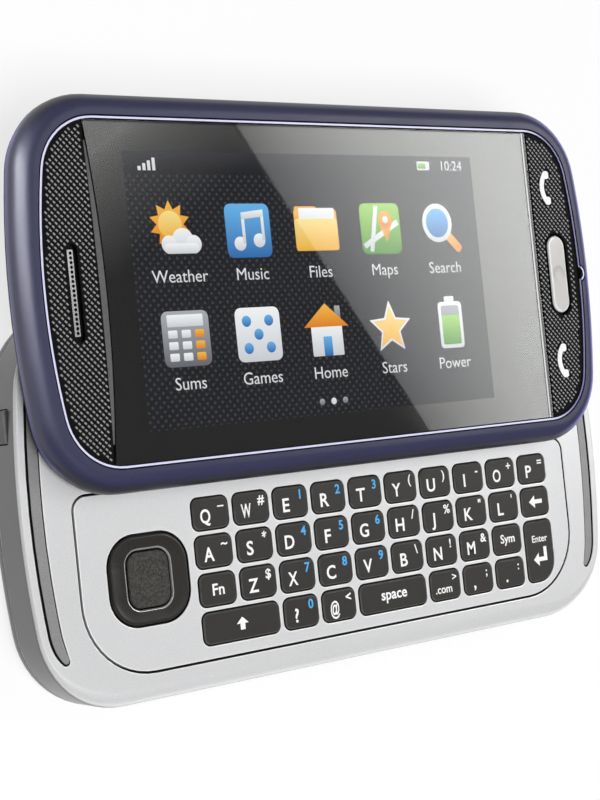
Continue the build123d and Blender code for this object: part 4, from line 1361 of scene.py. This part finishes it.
# The hole's walls take the near-black painted shade, and the bevel round it a brighter metal, a painted highlight.
cut_solid(ring, ring_hole, ring_low.z - overrun, ring_high.z + overrun, shade_and_edge_black)
ring.data.materials.append(pad_rim_highlight)
round_edges(ring, hole_round, 3, rim_of_wall(ring_high.z - dish_drop), len(ring.data.materials) - 1)
set_down(ring, "dpad_ring", "dpad_dark", "dpad_ring")

# %% Middle key
mid_round, mid_top = 0.22 * mm, mid_high.z - dish_drop
mid_plan = pad_plan(mid_half_x, mid_half_y, mid_corner, 0, 8)
mid_key = plan_solid("pad_middle", mid_plan, mid_low.z, mid_top, dpad_grain)
round_edges(mid_key, mid_round, 3, at_height(mid_top))
# The middle key's walls are painted near-black: painted shade in the gap round it.
darken_walls(mid_key)
set_down(mid_key, "dpad_center", "dpad_dark", "dpad_center")

# %% [markdown]
# ## Power key, socket, camera and slide
#
# The smaller pieces keep the shapes of their CAD solids. A merged copy with broken edges is enough,
# because the eye reads them by their highlights. The camera gets a dark pupil of glass behind its window.
# What lies inside the shell for good keeps its CAD mesh and only takes a finish.

# %% Small pieces and the slide
for node, name, finish, body, slot, size in (
    ("power_key", "power_button", power_grey, "power_key", "power_grey", 0.25 * mm),
    ("charge_socket", "end_socket", socket_steel, "base", "socket_steel", 0.06 * mm),
    ("camera_module", "camera_barrel", camera_black, "base", "camera_black", 0.12 * mm),
    ("slide_plate", "plate_of_slide", slide_steel, "base", "slide_steel", 0.08 * mm),
    ("slide_rails", "rails_of_slide", slide_steel, "slider", "slide_steel", 0.08 * mm),
    ("slider_back", "back_plate", back_dark, "slider", "slider_back_dark", 0.15 * mm),
):
    set_down(soften(cad_copy(node, name, finish), size), body, slot, node)

pupil_radius, pupil_depth, pupil_thickness, pupil_round = 2.1 * mm, 0.05 * mm, 0.2 * mm, 0.1 * mm
pupil_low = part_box("camera_module")[0].z + pupil_depth
pupil_plan = disc_plan(camera_middle.x, camera_middle.y, pupil_radius, 48)
pupil = plan_solid("camera_pupil", pupil_plan, pupil_low, pupil_low + pupil_thickness, pupil_glass)
round_edges(pupil, pupil_round, 3, at_height(pupil_low))
set_down(pupil, "base", "lens_glass")

for node, finish in (("battery", battery_wrap), ("main_board", board_green), ("keypad_mat", mat_rubber)):
    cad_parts[node].data.materials.clear()
    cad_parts[node].data.materials.append(finish)

# %% [markdown]
# ## Camera
#
# The picture is taken from close by, to the left of the phone and above it, so the near end looks larger.
# The lens and the place come from matching the screen's corners and the grid of keys. By hand you would
# fly the camera until those line up.

# %% Camera
camera_data = bpy.data.cameras.new("camera")
camera_data.sensor_fit = "VERTICAL"
camera_data.sensor_height = 36.0
camera_data.lens = 73.9
camera = bpy.data.objects.new("camera", camera_data)
camera.location = (-154.55 * mm, -5.73 * mm, 208.67 * mm)
camera.rotation_euler = Euler((radians(5.1045), radians(-36.2375), radians(-7.2494)))
bpy.context.scene.collection.objects.link(camera)
bpy.context.scene.camera = camera
print("the camera is", round(camera.location.length, 3), "m away")

# %% [markdown]
# ## Floor and surroundings
#
# A product picture has a white ground with a faint shadow. The floor is matt and pale, and to the camera
# and to mirror-like surfaces it also glows a little, so that it comes out white without more lamps. The
# air round it is white to the camera too, but lights the phone only dimly.

# %% Floor and world
floor_size, floor_gap, floor_glow = 4.0, 0.02 * mm, 0.75
finish, tree, shader, place = new_finish("floor_white")
grain = use_group(tree, "speckle", place["Object"], Scale=400, Dark=gray(0.84), Light=gray(0.86))
feed(tree, shader, Base_Color=grain["Color"], Roughness=0.9)
path = add_node(tree, "LightPath").outputs
seen = math(tree, "MAXIMUM", path["Is Camera Ray"], path["Is Glossy Ray"])
seen = math(tree, "MAXIMUM", seen, path["Is Transmission Ray"])
glow = add_node(tree, "Emission", Strength=1.0)
mixed = add_node(tree, "MixShader", Fac=math(tree, "MULTIPLY", seen, floor_glow),
                 _1=shader.outputs["BSDF"], _2=glow.outputs["Emission"])
feed(tree, tree.nodes["Material Output"], Surface=mixed.outputs["Shader"])
bpy.ops.object.select_all(action="DESELECT")
bpy.ops.mesh.primitive_plane_add(size=floor_size, location=(0, 0, cover_low.z - floor_gap))
floor = bpy.context.object
floor.name = "floor"
floor.data.materials.append(finish)

world = bpy.data.worlds.new("studio")
bpy.context.scene.world = world
world.use_nodes = True
air = world.node_tree
camera_ray = add_node(air, "LightPath").outputs["Is Camera Ray"]
level = add_node(air, "MapRange", Value=camera_ray, To_Min=0.25, To_Max=1.0)
feed(air, air.nodes["Background"], Color=(1, 1, 1, 1), Strength=level.outputs["Result"])
bpy.context.scene.view_settings.view_transform = "Standard"
print("the floor is", floor_size, "m wide")

# %% [markdown]
# ## Lights and cards
#
# One large soft box hangs above the phone. It lights the phone without being mirrored in it. What makes
# glass and paint look real is what they mirror, so three cards do that, and the camera does not see them.
# The glare card stands where the glass mirrors it, and its edge draws the slanted line across the screen.
# The dim card gives the other half of the glass its grey. The sheen card brightens the left rim. It is
# linked to the frame and its bright line alone, because elsewhere it would be a white patch in the glass.

# %% Soft box
lamp = bpy.data.lights.new("overhead", "AREA")
lamp.shape = "RECTANGLE"
lamp.size, lamp.size_y, lamp.energy = 0.8, 0.6, 9.8
overhead = bpy.data.objects.new("overhead", lamp)
overhead.location = (0.0, -0.25, 0.80)
overhead.rotation_euler = (-overhead.location).to_track_quat("-Z", "Y").to_euler()
overhead.visible_glossy = False
bpy.context.scene.collection.objects.link(overhead)
print("one soft box of", lamp.energy, "W")

# %% Cards
def light_card(name, low, high, place, turn, axis, span, levels, curve):
    """A lit card between two corners of its own. Its light fades along one of its axes."""
    bpy.ops.object.select_all(action="DESELECT")
    bpy.ops.mesh.primitive_plane_add(size=1.0)
    card = bpy.context.object
    card.name = name
    for vertex in card.data.vertices:
        vertex.co.x = high[0] if vertex.co.x > 0 else low[0]
        vertex.co.y = high[1] if vertex.co.y > 0 else low[1]
    card.location, card.rotation_euler = place, turn
    finish, tree, shader, own = new_finish(name)
    fade = spread(tree, axes(tree, own["Object"])[axis], *span, To_Min=1.0, To_Max=0.0)
    bend = math(tree, "POWER", fade, curve)
    level = add_node(tree, "MapRange", Value=bend, To_Min=levels[1], To_Max=levels[0])
    glow = add_node(tree, "Emission", Strength=level.outputs["Result"])
    feed(tree, tree.nodes["Material Output"], Surface=glow.outputs["Emission"])
    tree.nodes.remove(shader)
    card.data.materials.append(finish)
    card.visible_camera = False
    return card


glass_level, card_reach, card_spare = lens_high.z, 4, 0.1
glare_top = Vector((-17.13 * mm, 38.73 * mm, glass_level))
glare_foot = Vector((13.98 * mm, -8.87 * mm, glass_level))
mirror_eye = Vector((camera.location.x, camera.location.y, 2 * glass_level - camera.location.z))
card_start = mirror_eye + card_reach * (glare_top - mirror_eye)
card_end = mirror_eye + card_reach * (glare_foot - mirror_eye)
card_turn = (0, 0, atan2(card_start.y - card_end.y, card_start.x - card_end.x) - pi / 2)
card_foot = -(card_end - card_start).length - card_spare
light_card("glare_card", (0.0, card_foot), (0.34, card_spare), card_start, card_turn,
           axis="X", span=(0.0, 0.2), levels=(1.4, 4.9), curve=2.0)
light_card("dim_card", (-0.42, card_foot), (0.0, card_spare), card_start + Vector((0, 0, 0.004)), card_turn,
           axis="Y", span=(-0.025, 0.035), levels=(0.22, 1.6), curve=0.5)
sheen = light_card("sheen_card", (-0.90, -0.25), (-0.01, 0.30), (-0.45, 0, 0), (0, pi / 2, 0),
                   axis="Y", span=(0.22, -0.01), levels=(27.0, 0.1), curve=2.2)
sheen.visible_diffuse = False
lit_by_sheen = bpy.data.collections.new("lit_by_sheen")
for piece in (frame_shell, trim):
    lit_by_sheen.objects.link(piece)
sheen.light_linking.receiver_collection = lit_by_sheen
print("the cards hang", round(card_start.z, 2), "m up")
